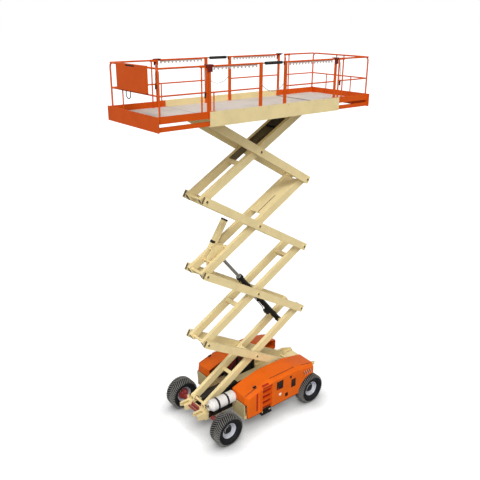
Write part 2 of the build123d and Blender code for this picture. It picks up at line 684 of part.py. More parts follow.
def hood(side):
    """An engine hood: roof, bevelled shoulder, outer wall and ends, open below and towards the frame."""
    span = (hood_inner_y - 10, hood_outer_y + 10)
    shell = hood_form(0) - bar_y(-axle_x, span, axle_z, arch_radius)
    shell = shell - (hood_form(hood_wall) - bar_y(-axle_x, span, axle_z, arch_radius + hood_wall))
    inside = (hood_inner_y - 1, hood_outer_y - hood_wall)
    shell = shell - block((-965, hood_front_x - 60), inside, (400, 520))
    shell = shell - block((hood_front_x - 60, hood_front_x + 1), (hood_inner_y - 1, hood_outer_y - 40), (400, nose_open_z))
    for x0, x1, z0, z1 in hood_windows:
        shell = shell - block((x0, x1), (hood_outer_y - 40, hood_outer_y + 1), (z0, z1))
    for x in louvre_slots:
        slot = Pos(x, hood_outer_y - 10, louvre_z) * Rot(0, 18, 0) * Box(26, 60, 130)
        shell = shell - slot
    # the recess for the steps, a tray let into the outer wall
    recess_top = 1150
    tray_y = (hood_outer_y - step_recess_depth - hood_wall, hood_outer_y - hood_wall)
    tray = block((step_recess[0] - hood_wall, step_recess[1] + hood_wall), tray_y, (462, recess_top + hood_wall))
    pocket = block(step_recess, (hood_outer_y - step_recess_depth, hood_outer_y + 1), (400, recess_top))
    shell = shell + tray - pocket
    for z in step_rungs:
        shell = shell + block((step_recess[0] - 1, step_recess[1] + 1),
                              (hood_outer_y - step_recess_depth - 1, hood_outer_y - 14), (z, z + 34))
    # the grab rail at the recess's front edge, and the lamp
    shell = shell + block((step_recess[1] + 14, step_recess[1] + 48), (hood_outer_y - hood_wall, hood_outer_y + 16),
                          (520, 1060))
    shell = shell + bar_y(side_lamp[0], (hood_outer_y - hood_wall, hood_outer_y + 8), side_lamp[1],
                            side_lamp_radius)
    return shell if side > 0 else mirror(shell, about=Plane.XZ)


def inset_outline(points, wall):
    """The outline moved inwards by a wall, for a closed outline that runs one way round."""
    moved = []
    count = len(points)
    area = sum(points[i][0] * points[(i + 1) % count][1] - points[(i + 1) % count][0] * points[i][1]
               for i in range(count))
    turn = 1 if area > 0 else -1
    for i in range(count):
        before, here, after = points[i - 1], points[i], points[(i + 1) % count]
        first = (here[0] - before[0], here[1] - before[1])
        second = (after[0] - here[0], after[1] - here[1])
        a = hypot(*first)
        b = hypot(*second)
        n1 = (-first[1] / a * turn, first[0] / a * turn)
        n2 = (-second[1] / b * turn, second[0] / b * turn)
        scale = wall / (1 + n1[0] * n2[0] + n1[1] * n2[1])
        moved.append((here[0] + (n1[0] + n2[0]) * scale, here[1] + (n1[1] + n2[1]) * scale))
    return moved


# ---------------------------------------------------------------- platform
deck_plate = 8
panel_thickness = 12
deck_ear_end = outer_arm_face + 40
deck_ear_thickness = 20
deck_slider_radius = 50
deck_slider_start = inner_arm_y + arm_width / 2 + 4
deck_slider_end = deck_slider_start + 40
slide_beam_height = 96
stowed_angle = 3.5
raised_angle = 49.5
slider_rear_x = base_pin_x - arm_length * cos(radians(stowed_angle))
slider_front_x = base_pin_x - arm_length * cos(radians(raised_angle))
extension_plate = 8
extension_lift = 5.5


def main_deck():
    """The main platform: floor, side panels with lips, cross members, pivot ears and slider guides."""
    x = (main_rear_x, main_front_x)
    floor_z = (deck_z - deck_plate, deck_z)
    pieces = [block(x, (-deck_half_width + 6, deck_half_width - 6), floor_z)]
    for side in (1, -1):
        outer = side * deck_half_width
        inner = side * (deck_half_width - panel_thickness)
        pieces.append(block(x, sorted((outer, inner)), (panel_z, toe_z)))
        pieces.append(block(x, sorted((outer, side * (deck_half_width - 95))), (panel_z, panel_z + 8)))
        # longitudinal beams under the floor, over the arms
        pieces.append(block((main_rear_x + 60, main_front_x - 60), sorted((side * 470, side * 520)), (panel_z + 20, deck_z - 6)))
        # ears of the fixed pivot
        ear_y = outer_arm_face + 8
        ear = plate_y([(base_pin_x - 120, deck_z - 6), (base_pin_x + 120, deck_z - 6),
                       (base_pin_x + 55, pin_z[levels] - 58), (base_pin_x - 55, pin_z[levels] - 58)],
                      sorted((side * ear_y, side * (ear_y + deck_ear_thickness))))
        pieces.append(ear - bar_y(base_pin_x, sorted((side * (ear_y - 1), side * (ear_y + deck_ear_thickness + 1))),
                                  pin_z[levels], bore_radius))
        # guides that the rear sliders run in
        guide_y = sorted((side * deck_slider_start, side * (deck_slider_end + 18)))
        guide_x = (slider_rear_x - 56, slider_front_x + 57)
        high = pin_z[levels] + deck_slider_radius + running_gap
        pieces.append(block(guide_x, guide_y, (high, deck_z - 6)))
        for cross_x in (-1200, -300, 600, 1400):
            pieces.append(block((cross_x, cross_x + 50), sorted((side * 500, side * 900)), (deck_z - 60, deck_z - 6)))
    return fuse(*pieces)


def post(x, y, low, high, radius=rail_radius):
    return round_bar((x, y, low), (x, y, high), radius)


# Main rails, one side: sections along X. Columns: rear end, front end, gate post end, other posts.
rail_sections = [
    (510, 1885, 510, (1778,)),
    (-1842, -210, -210, ()),
]
gate_post_depth = 70


def main_rails(side):
    """The main deck's fixed rails on one side, in two sections with the gateway between them."""
    y = side * main_rail_y
    sections = []
    foot = deck_z + 0.3
    for rear, front, gate, stubs in rail_sections:
        far = front if gate == rear else rear
        pieces = [round_bar((rear, y, top_rail_z), (front, y, top_rail_z), rail_radius),
                  round_bar((rear, y, mid_rail_z), (front, y, mid_rail_z), mid_rail_radius),
                  post(far, y, foot, top_rail_z),
                  block((gate - gate_post_depth / 2, gate + gate_post_depth / 2), sorted((y - rail_radius, y + rail_radius)),
                        (foot, top_rail_z + rail_radius))]
        pieces += [post(stub, y, foot, mid_rail_z, upright_radius) for stub in stubs]
        sections.append(fuse(*pieces))
    return sections


def extension_deck(end_x, inner_x, beam_inner_x, sign):
    """A roll-out deck: thin floor over the main floor, toe boards, end panel and slide beams."""
    near, far = sorted((inner_x, end_x))
    floor = deck_z + extension_lift
    outer = deck_half_width - extension_inset
    panel = sorted((end_x, end_x - sign * panel_thickness))
    pieces = [block((near, far), (-outer, outer), (floor, floor + extension_plate)),
              block(panel, (-deck_half_width, deck_half_width), (panel_z, toe_z))]
    for side in (1, -1):
        pieces.append(block(sorted((inner_x, end_x)), sorted((side * outer, side * (outer - 6))), (floor, toe_z)))
        beam = sorted((beam_inner_x, end_x))
        pieces.append(block(beam, sorted((side * outer, side * (outer - 60))), (panel_z + 8 + running_gap, panel_z + slide_beam_height)))
    return fuse(*pieces)


front_inner_x = main_front_x - 200
rear_inner_x = main_rear_x + 217
control_box_depth = 62
front_rail_x = front_end_x - control_box_depth - rail_radius - 0.3
rear_rail_x = rear_end_x + 57


def bent_tube(points, radius, bend):
    """A round tube along straight runs, with an elbow at each corner."""
    runs = []
    for edge in FilletPolyline(*points, radius=bend).edges():
        start = edge.position_at(0)
        if edge.geom_type == GeomType.LINE:
            runs.append(round_bar(tuple(start), tuple(edge.position_at(1)), radius))
        else:
            runs.append(sweep(Plane(origin=start, z_dir=edge.tangent_at(0)) * Circle(radius), path=edge))
    return fuse(*runs)


def end_frame(x, y):
    """An inverted U of tube across the deck's end, with round corners."""
    low = deck_z + extension_lift + extension_plate
    return bent_tube([(x, -y, low), (x, -y, top_rail_z), (x, y, top_rail_z), (x, y, low)], rail_radius, 90)


def extension_rails(end_x, inner_x, stubs, uprights):
    """The rails of a roll-out deck: end frame, side rails with their inner posts, and short posts."""
    y = extension_rail_y
    low = deck_z + extension_lift + extension_plate
    x = sorted((end_x, inner_x))
    pieces = [end_frame(end_x, y),
              round_bar((end_x, -y, mid_rail_z), (end_x, y, mid_rail_z), mid_rail_radius)]
    for side in (1, -1):
        pieces.append(round_bar((x[0], side * y, top_rail_z), (x[1], side * y, top_rail_z), rail_radius))
        pieces.append(round_bar((x[0], side * y, mid_rail_z), (x[1], side * y, mid_rail_z), mid_rail_radius))
        pieces.append(post(inner_x, side * y, low, top_rail_z))
    for stub in stubs:
        pieces.append(post(end_x, stub, low, mid_rail_z, upright_radius))
    for upright in uprights:
        pieces.append(post(end_x, upright, mid_rail_z, top_rail_z, upright_radius))
    return fuse(*pieces)


entry_hinge_radius = 13


def entry_bar(side):
    """The padded bar across one gateway, on its hinge at the rear gate post."""
    y = side * main_rail_y
    hinge_x = -210 + gate_post_depth / 2 + entry_hinge_radius + running_gap
    far_x = 510 - gate_post_depth / 2 - 6
    z = top_rail_z
    bar = round_bar((hinge_x, y, z), (far_x, y, z), 12)
    pad = round_bar((hinge_x + 70, y, z), (far_x - 70, y, z), 26)
    return fuse(bar, pad, post(hinge_x, y, z - 60, z + 12, entry_hinge_radius))


chain_radius = 5
chain_runs = 8


def entry_chain(side):
    """The slack chain across one gateway at knee height, as a plain six-sided bar in straight runs."""
    y = side * main_rail_y
    x0 = -210 + gate_post_depth / 2 + 0.3
    x1 = 510 - gate_post_depth / 2 - 0.3
    z = mid_rail_z + 60
    sag = 150
    shares = [2 * index / chain_runs - 1 for index in range(chain_runs + 1)]
    points = [((x0 + x1) / 2 + share * (x1 - x0) / 2, z - sag * (1 - share ** 2)) for share in shares]
    upper = [(x, z + chain_radius) for x, z in points]
    lower = [(x, z - chain_radius) for x, z in reversed(points)]
    return plate_y(upper + lower, (y - chain_radius, y + chain_radius))


def control_box():
    """The wide panel on the front end rail, with its folded edges and hangers."""
    face_x = (front_end_x - control_box_depth, front_end_x)
    whole = block(face_x, (-550, 600), (deck_z + 557, deck_z + 1082))
    whole = whole - block((face_x[0] - 1, face_x[1] - 6), (-544, 594), (deck_z + 563, deck_z + 1076))
    return whole


# ---------------------------------------------------------------- build every node
def build():
    save("chassis_frame", chassis_frame())
    save("hood_posts", *[hood_post(x, side) for x in hood_hinge_x for side in (1, -1)])
    for name, side in (("left", 1), ("right", -1)):
        save(f"roller_track_{name}", roller_track(side))
        save(f"side_tray_{name}", side_tray(side))
    save("front_axle", axle_beam(axle_x, True))
    save("rear_axle", axle_beam(-axle_x, False))
    save("knuckle_left", knuckle(1))
    save("knuckle_right", knuckle(-1))
    save("tie_rod", tie_rod())
    tyre_shape = tyre_body()
    for end, x in (("front", axle_x), ("rear", -axle_x)):
        for name, side in (("left", 1), ("right", -1)):
            save(f"tyre_{end}_{name}", Pos(x, side * tyre_middle_y, axle_z) * tyre_shape)
            save(f"rim_{end}_{name}", rim(x, side))
    save("engine_block", engine_block())
    save("engine_cover", engine_cover())
    save("gas_tank", fuel_tank())
    save("tank_cradle", tank_cradle())
    save("hood_left", hood(1))
    save("hood_right", hood(-1))
    for level in range(1, levels + 1):
        save(f"outer_arms_{level}", *outer_arms(level))
        save(f"inner_arms_{level}", *inner_arms(level))
    save("arm_junction_box", arm_junction_box())
    save("lift_barrel", lift_barrel())
    save("lift_rod", lift_rod())
    save("lift_lever", lift_lever())
    save("main_deck", main_deck())
    save("front_deck", extension_deck(front_end_x, front_inner_x, front_inner_x - 150, 1))
    save("rear_deck", extension_deck(rear_end_x, rear_inner_x, rear_inner_x + 150, -1))
    for name, side in (("left", 1), ("right", -1)):
        save(f"main_rails_{name}", *main_rails(side))
        save(f"entry_bar_{name}", entry_bar(side))
        save(f"entry_chain_{name}", entry_chain(side))
    save("front_rails", extension_rails(front_rail_x, main_front_x, (-464,), ()))
    save("rear_rails", extension_rails(rear_rail_x, main_rear_x - 13, (428, -421), (-100, 150)))
    save("control_box", control_box())


build()
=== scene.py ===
import json
from math import atan2, cos, degrees, pi, radians, sin

import bmesh
import bpy
from bpy.props import FloatProperty, FloatVectorProperty, IntProperty, PointerProperty
from mathutils import Matrix, Vector

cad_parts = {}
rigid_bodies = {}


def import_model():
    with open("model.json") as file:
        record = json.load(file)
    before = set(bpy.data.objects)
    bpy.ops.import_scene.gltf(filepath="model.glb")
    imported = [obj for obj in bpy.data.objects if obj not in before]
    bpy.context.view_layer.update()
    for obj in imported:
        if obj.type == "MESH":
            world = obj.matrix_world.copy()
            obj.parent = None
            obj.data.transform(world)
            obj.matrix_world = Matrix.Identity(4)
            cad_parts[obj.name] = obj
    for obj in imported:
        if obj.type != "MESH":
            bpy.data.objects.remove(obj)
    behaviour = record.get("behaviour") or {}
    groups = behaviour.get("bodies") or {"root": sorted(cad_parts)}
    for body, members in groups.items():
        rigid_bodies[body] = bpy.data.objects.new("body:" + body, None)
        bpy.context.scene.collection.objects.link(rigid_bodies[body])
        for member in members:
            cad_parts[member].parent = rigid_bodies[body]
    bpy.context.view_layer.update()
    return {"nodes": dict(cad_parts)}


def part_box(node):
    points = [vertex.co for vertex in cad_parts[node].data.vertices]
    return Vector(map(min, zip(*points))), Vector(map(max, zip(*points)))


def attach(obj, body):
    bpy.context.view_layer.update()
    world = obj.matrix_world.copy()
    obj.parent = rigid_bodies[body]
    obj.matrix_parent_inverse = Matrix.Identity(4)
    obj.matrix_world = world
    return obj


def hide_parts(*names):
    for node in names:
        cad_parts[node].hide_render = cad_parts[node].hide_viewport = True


bl_info = {
    "name": "Scissor Lift Dressing",
    "version": (1, 0, 0),
    "blender": (4, 5, 0),
    "location": "View3D > Sidebar > Scissor Lift",
    "description": "Finishes, small fittings and the studio for a rough-terrain scissor lift",
    "category": "Object",
}

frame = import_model()


# ---------------------------------------------------------------- sizes and colours
def colour(name, default, description):
    return FloatVectorProperty(name=name, description=description, subtype="COLOR", size=3, min=0, max=1,
                               default=default)


class LiftColours(bpy.types.PropertyGroup):
    arm_paint: colour("Arm paint", (0.83, 0.68, 0.355), "Cream paint of the arms, the frame and the main deck")
    hood_orange: colour("Hood orange", (0.77, 0.130, 0.007), "Moulded colour of the engine hoods")
    rail_orange: colour("Rail orange", (0.66, 0.090, 0.006), "Paint of the rails and the extension decks")
    floor_grey: colour("Deck floor", (0.60, 0.54, 0.49), "Worn surface of the platform floor")
    axle_red: colour("Axle red", (0.30, 0.035, 0.035), "Paint of the axles and hubs")
    recess_shade_red: colour("Step red", (0.42, 0.028, 0.010), "Shaded red of the steps' recess")
    bracket_maroon: colour("Bracket maroon", (0.14, 0.012, 0.010), "Guide brackets on the rails")
    tyre_black: colour("Tyre wall", (0.008, 0.008, 0.010), "Clean rubber of the side walls")
    tread_grey: colour("Tread", (0.19, 0.185, 0.17), "Dusty rubber of the tread")
    rim_silver: colour("Rim silver", (0.62, 0.63, 0.68), "Paint of the wheel rims")
    tank_white: colour("Tank white", (0.76, 0.735, 0.71), "Paint of the gas bottle")
    rack_grey: colour("Rack grey", (0.62, 0.52, 0.48), "Notched racks under the rails")
    black_paint: colour("Black paint", (0.010, 0.010, 0.011), "Cylinder barrel and small fittings")


class LiftSizes(bpy.types.PropertyGroup):
    tread_bars: IntProperty(name="Tread bars", description="Bars in each of a tyre's two rows", default=44,
                            min=8, max=60)
    tread_sweep: FloatProperty(name="Tread sweep", description="How far a bar leans round the tyre",
                               default=radians(11), subtype="ANGLE")
    hood_roll: FloatProperty(name="Hood edge roll", description="Size of the hoods' rolled edges", default=0.018,
                             min=0, max=0.03, unit="LENGTH")
    rack_pitch: FloatProperty(name="Rack pitch", description="Distance between the teeth of a rail rack",
                              default=0.095, min=0.05, unit="LENGTH")
    key_strength: FloatProperty(name="Key strength", description="Strength of the soft key light", default=2.1, min=0)
    top_strength: FloatProperty(name="Top strength", description="Strength of the light overhead", default=0.6, min=0)
    front_strength: FloatProperty(name="Front strength", description="Strength of the low front light", default=1.1,
                                  min=0)
    shade_reach: FloatProperty(name="Shade reach", description="How far the machine darkens the floor near it",
                               default=0.65, min=0.1, unit="LENGTH")
    fill_strength: FloatProperty(name="Fill strength", description="Strength of the world's even light", default=0.30,
                                 min=0)


def colours():
    return bpy.context.scene.lift_colours


def sizes():
    return bpy.context.scene.lift_sizes


# ---------------------------------------------------------------- node helpers
FLOAT, COLOR, VECTOR, INT = "NodeSocketFloat", "NodeSocketColor", "NodeSocketVector", "NodeSocketInt"
OBJECT, MATERIAL, GEOMETRY = "NodeSocketObject", "NodeSocketMaterial", "NodeSocketGeometry"


def fill(tree, node, sockets):
    """Set a node's inputs by name or place, each to a plain value or by a link from an output."""
    for key, value in sockets.items():
        if isinstance(value, bpy.types.NodeSocket):
            tree.links.new(value, node.inputs[key])
        else:
            node.inputs[key].default_value = value


def add(tree, kind, x=0, y=0, sockets=None, **values):
    """A node at a place in the tree, with its settings and then its inputs."""
    node = tree.nodes.new(kind)
    node.location = (x, y)
    for key, value in values.items():
        setattr(node, key, value)
    fill(tree, node, sockets or {})
    return node


def math_node(tree, operation, x, y, *values):
    """The output of a math node."""
    return add(tree, "ShaderNodeMath", x, y, dict(enumerate(values)), operation=operation).outputs[0]


def new_tree(name, kind, inputs, outputs):
    """A node tree, what it is given and its end. Columns of its inputs: name, type, default."""
    tree = bpy.data.node_groups.new(name, kind)
    for title, socket, default in inputs:
        made = tree.interface.new_socket(name=title, in_out="INPUT", socket_type=socket)
        if default is not None:
            made.default_value = default
    for title, socket in outputs:
        tree.interface.new_socket(name=title, in_out="OUTPUT", socket_type=socket)
    return tree, add(tree, "NodeGroupInput", -900).outputs, add(tree, "NodeGroupOutput", 900)


def noise_of(tree, given, x, y, **more):
    """Noise over the surface, from the place and the scale that a group is given."""
    sockets = {"Vector": given["Vector"], "Scale": given["Scale"], **more}
    return add(tree, "ShaderNodeTexNoise", x, y, sockets).outputs["Fac"]


def grime_group():
    """Broad soft dirt and fading: a colour, and a mask that roughens the surface."""
    tree, given, end = new_tree("lift_grime", "ShaderNodeTree", [
        ("Color", COLOR, (1, 1, 1, 1)), ("Dirt", COLOR, (0.2, 0.16, 0.1, 1)), ("Amount", FLOAT, 0.2),
        ("Scale", FLOAT, 3.0), ("Vector", VECTOR, None)], [("Color", COLOR), ("Mask", FLOAT)])
    noise = noise_of(tree, given, -600, 0, Detail=6.0, Roughness=0.62)
    ramp = add(tree, "ShaderNodeMapRange", -350, 0, {"Value": noise, "From Min": 0.42, "From Max": 0.78})
    mask = math_node(tree, "MULTIPLY", -150, 0, ramp.outputs["Result"], given["Amount"])
    mix = add(tree, "ShaderNodeMix", 100, 0, {"Factor": mask, "A": given["Color"], "B": given["Dirt"]},
              data_type="RGBA")
    fill(tree, end, {"Color": mix.outputs["Result"], "Mask": mask})
    return tree


def grain_group():
    """Fine orange peel of paint or the grain of a moulded surface, as a height."""
    tree, given, end = new_tree("lift_grain", "ShaderNodeTree", [("Scale", FLOAT, 60.0), ("Vector", VECTOR, None)],
                                [("Height", FLOAT)])
    fill(tree, end, {"Height": noise_of(tree, given, -500, 0, Detail=3.0)})
    return tree


def dust_and_top_light_group():
    """Dust that settles on faces that look up, as a mask. Where a finish gives it a tint lighter than its own paint, it
    is a painted highlight on those faces.
    """
    tree, given, end = new_tree("lift_dust_and_top_light", "ShaderNodeTree", [
        ("Amount", FLOAT, 0.3), ("Scale", FLOAT, 8.0), ("Vector", VECTOR, None)], [("Mask", FLOAT)])
    normal = add(tree, "ShaderNodeNewGeometry", -900, -250).outputs["Normal"]
    height = add(tree, "ShaderNodeSeparateXYZ", -700, -250, {0: normal}).outputs["Z"]
    upward = add(tree, "ShaderNodeMapRange", -500, -250, {"Value": height, "From Min": 0.35, "From Max": 1.0})
    noise = noise_of(tree, given, -500, 100, Detail=5.0)
    both = math_node(tree, "MULTIPLY", -250, 0, upward.outputs["Result"], noise)
    fill(tree, end, {"Mask": math_node(tree, "MULTIPLY", 0, 0, both, given["Amount"])})
    return tree


GROUPS = {}


def group(name):
    if name not in GROUPS:
        GROUPS[name] = {"grime": grime_group, "grain": grain_group, "dust_and_top_light": dust_and_top_light_group}[name]()
    return GROUPS[name]


def rgba(value):
    return (*value[:3], 1.0)


def new_material(name):
    """A material with an empty tree."""
    made = bpy.data.materials.new(name)
    made.use_nodes = True
    made.node_tree.nodes.clear()
    return made, made.node_tree


DIRT_ROUGHENS = 0.35
GRAIN_DEPTH = 0.01


def finish_material(name, base, rough=0.45, metal=0.0, dirt=(0.16, 0.12, 0.08), dirt_amount=0.25, dirt_scale=2.5,
                    dust_and_top_light_amount=0.2, grain=60.0, bump=0.05, coat=0.0, dust_and_top_light_colour=(0.45, 0.40, 0.32),
                    specular=0.3):
    """A painted or moulded finish: base colour, soft dirt, a fine grain, and a tint on faces that look up, which is
    dusting on most finishes and a painted highlight on the arm paint and the hood orange.
    """
    made, tree = new_material(name)
    place = add(tree, "ShaderNodeTexCoord", -900).outputs["Object"]
    grime = add(tree, "ShaderNodeGroup", -500, 200, {
        "Vector": place, "Color": rgba(base), "Dirt": rgba(dirt), "Amount": dirt_amount, "Scale": dirt_scale},
        node_tree=group("grime")).outputs
    grain_height = add(tree, "ShaderNodeGroup", -500, -300, {"Vector": place, "Scale": grain},
                       node_tree=group("grain")).outputs["Height"]
    dust_and_top_light = add(tree, "ShaderNodeGroup", -500, -100, {"Vector": place, "Amount": dust_and_top_light_amount},
               node_tree=group("dust_and_top_light")).outputs["Mask"]
    dust_and_top_lit = add(tree, "ShaderNodeMix", -100, 200, {"Factor": dust_and_top_light, "A": grime["Color"], "B": rgba(dust_and_top_light_colour)},
                data_type="RGBA")
    height = add(tree, "ShaderNodeBump", 200, -300, {"Strength": bump, "Distance": GRAIN_DEPTH,
                                                     "Height": grain_height})
    shader = add(tree, "ShaderNodeBsdfPrincipled", 500, 0, {
        "Base Color": dust_and_top_lit.outputs["Result"],
        "Roughness": math_node(tree, "MULTIPLY_ADD", -100, -100, grime["Mask"], DIRT_ROUGHENS, rough),
        "Metallic": metal, "Specular IOR Level": specular, "Coat Weight": coat, "Normal": height.outputs["Normal"]})
    add(tree, "ShaderNodeOutputMaterial", 800, 0, {"Surface": shader.outputs["BSDF"]})
    return made


FINISHES = {}


def finish(name):
    """The named finish, made the first time that it is asked for."""
    if name not in FINISHES:
        c = colours()
        rust = (0.30, 0.04, 0.01)
        soil = (0.30, 0.22, 0.10)
        looks = {
            # The arm paint's pale cream tint on faces that look up is a painted highlight.
            "arm_paint": ("cream_paint", c.arm_paint, dict(rough=0.45, dirt=soil, dirt_amount=0.22, dust_and_top_light_amount=0.06,
                                                           dust_and_top_light_colour=(0.90, 0.80, 0.56), specular=0.2)),
            "bare": ("bare_plate", [min(1, 1.12 * v) for v in c.arm_paint], dict(rough=0.35, dirt_amount=0.05)),
            # The hood's brighter orange tint on faces that look up is a painted highlight.
            "hood_orange": ("hood_orange", c.hood_orange, dict(rough=0.42, dirt=rust, dirt_amount=0.22,
                                                               dust_and_top_light_amount=0.02, dust_and_top_light_colour=(0.95, 0.30, 0.05),
                                                               specular=0.10)),
            "rail_orange": ("rail_orange", c.rail_orange, dict(rough=0.45, dirt=rust, dust_and_top_light_amount=0.0, specular=0.10)),
            "deck_orange": ("deck_orange", c.rail_orange, dict(rough=0.45, dirt=rust, dust_and_top_light_amount=0.0, specular=0.10)),
            "axle_red": ("axle_red", c.axle_red, dict(rough=0.55, dirt=(0.05, 0.03, 0.02), dust_and_top_light_amount=0.15)),
            "recess_shade_red": ("recess_shade_red", c.recess_shade_red, dict(rough=0.5, dirt=(0.12, 0.02, 0.01), dust_and_top_light_amount=0.0,
                                                       specular=0.1)),
            "bracket_maroon": ("bracket_maroon", c.bracket_maroon, dict(rough=0.5, dust_and_top_light_amount=0.0, specular=0.1)),
            "tyre": ("tyre_wall", c.tyre_black, dict(rough=0.75, dirt=(0.05, 0.048, 0.045), dirt_amount=0.35,
                                                     dirt_scale=6.0, dust_and_top_light_amount=0.02, grain=120, bump=0.15,
                                                     specular=0.12)),
            "tread": ("tyre_tread", c.tread_grey, dict(rough=0.9, dirt=(0.04, 0.04, 0.04), dirt_amount=0.4,
                                                       dirt_scale=9.0, dust_and_top_light_amount=0.3, grain=150, bump=0.25,
                                                       dust_and_top_light_colour=(0.24, 0.23, 0.20), specular=0.1)),
            "rim": ("rim_silver", c.rim_silver, dict(rough=0.40, metal=0.15, dirt=(0.12, 0.11, 0.10), dirt_amount=0.3)),
            # A lighter copy of the rim paint: a painted highlight on the rolled lip.
            "lip_highlight": ("rim_lip_highlight", [min(1, 1.15 * v) for v in c.rim_silver], dict(rough=0.30, metal=0.2, dirt_amount=0.1)),
            "tank": ("tank_white", c.tank_white, dict(rough=0.38, dirt=(0.45, 0.38, 0.36), dirt_amount=0.35,
                                                      dirt_scale=4.0, dust_and_top_light_amount=0.05)),
            "black": ("black_paint", c.black_paint, dict(rough=0.38, dirt=(0.03, 0.026, 0.022), dust_and_top_light_amount=0.03,
                                                      specular=0.15)),
            "chrome": ("chrome_rod", (0.42, 0.42, 0.43), dict(rough=0.2, metal=1.0, dirt_amount=0.05, bump=0.0,
                                                              dust_and_top_light_amount=0.0)),
            "steel": ("plated_steel", (0.36, 0.35, 0.33), dict(rough=0.40, metal=0.8, dust_and_top_light_amount=0.1)),
            # Engine black; the same black also paints the shade inside the frame.
            "engine": ("engine_black_and_frame_shade", (0.022, 0.021, 0.020), dict(rough=0.6, dirt_amount=0.4, dust_and_top_light_amount=0.15,
                                                                   dust_and_top_light_colour=(0.16, 0.13, 0.10), specular=0.12)),
            # A darker copy of the arm paint: painted shade on the nose plates, which face forward.
            "shaded_cream": ("shaded_cream_plate", [0.62 * v for v in c.arm_paint], dict(rough=0.5, dirt=soil, dirt_amount=0.3,
                                                                           dust_and_top_light_amount=0.0, specular=0.15)),
            # Brown grease on the pins and their bolts; the same brown paints shade on the arms' open ends and on the
            # level-four tray and skin.
            "grease_and_shade": ("brown_grease_and_shade", (0.14, 0.105, 0.05), dict(rough=0.5, dirt=(0.02, 0.015, 0.01),
                                                                   dirt_amount=0.5, dirt_scale=8.0, dust_and_top_light_amount=0.1)),
            "foam": ("black_foam", (0.010, 0.010, 0.010), dict(rough=0.85, grain=200, bump=0.3, dust_and_top_light_amount=0.05)),
            "floor": ("deck_floor", c.floor_grey, dict(rough=0.6, dirt=(0.30, 0.26, 0.20), dirt_amount=0.45,
                                                       dirt_scale=1.6, dust_and_top_light_amount=0.1, grain=34, bump=0.35)),
            "rack": ("rack_grey", c.rack_grey, dict(rough=0.5, dirt_amount=0.2)),
            # The pale lens colour also paints the highlight on the louvre fins.
            "lens": ("pale_lens_and_fin_highlight", (0.80, 0.60, 0.48), dict(rough=0.25, dirt_amount=0.1, coat=0.3)),
            "window": ("window_black", (0.020, 0.008, 0.006), dict(rough=0.3, dirt_amount=0.1, dust_and_top_light_amount=0.0,
                                                                 specular=0.1)),
            "brass": ("brass_fitting", (0.50, 0.34, 0.14), dict(rough=0.35, metal=0.9)),
            "hose": ("rubber_hose", (0.013, 0.013, 0.014), dict(rough=0.6, grain=220, bump=0.2, dust_and_top_light_amount=0.1)),
            "shade": ("seam_shade", (0.060, 0.018, 0.008), dict(rough=0.7, dust_and_top_light_amount=0.0)),
            "button": ("stop_red", (0.55, 0.02, 0.015), dict(rough=0.3, dirt_amount=0.1)),
        }
        title, base, values = looks[name]
        FINISHES[name] = finish_material(title, base, **values)
    return FINISHES[name]


NODE_FINISH = {
    "chassis_frame": "arm_paint", "hood_posts": "black", "roller_track": "arm_paint", "side_tray": "arm_paint",
    "front_axle": "axle_red", "rear_axle": "axle_red", "knuckle": "axle_red", "tie_rod": "steel",
    "tyre": "tyre", "rim": "rim", "engine_block": "engine", "engine_cover": "axle_red", "gas_tank": "tank",
    "tank_cradle": "black", "arm_junction_box": "black",
    "hood": "hood_orange", "outer_arms": "arm_paint", "inner_arms": "arm_paint", "lift_barrel": "black",
    "lift_rod": "chrome", "lift_lever": "arm_paint", "main_deck": "arm_paint", "main_rails": "rail_orange",
    "entry_chain": "steel", "entry_bar": "foam", "front_deck": "deck_orange", "rear_deck": "deck_orange",
    "front_rails": "rail_orange", "rear_rails": "rail_orange", "control_box": "rail_orange",
}


def finish_of(node):
    return max((key for key in NODE_FINISH if node.startswith(key)), key=len)


# ---------------------------------------------------------------- shapes and pieces
FACING = {"+X": (0, pi / 2, 0), "-X": (0, -pi / 2, 0), "+Y": (-pi / 2, 0, 0), "-Y": (pi / 2, 0, 0), "+Z": (0, 0, 0),
          "-Z": (pi, 0, 0)}
SIDES = (("left", 1), ("right", -1))
AXLE_OUT = {1: Matrix.Rotation(-pi / 2, 4, "X"), -1: Matrix.Rotation(pi / 2, 4, "X")}


def span(a, b):
    return (a, b) if a <= b else (b, a)


def facing(side):
    """The way out of the machine on one side."""
    return "+Y" if side > 0 else "-Y"


def outwards(x, y, z, side):
    """A place whose Z axis points out of the machine on one side."""
    return Matrix.Translation((x, y, z)) @ AXLE_OUT[side]


def ahead(x, y, z):
    """A place whose Z axis points to the machine's front."""
    return Matrix.Translation((x, y, z)) @ Matrix.Rotation(pi / 2, 4, "Y")


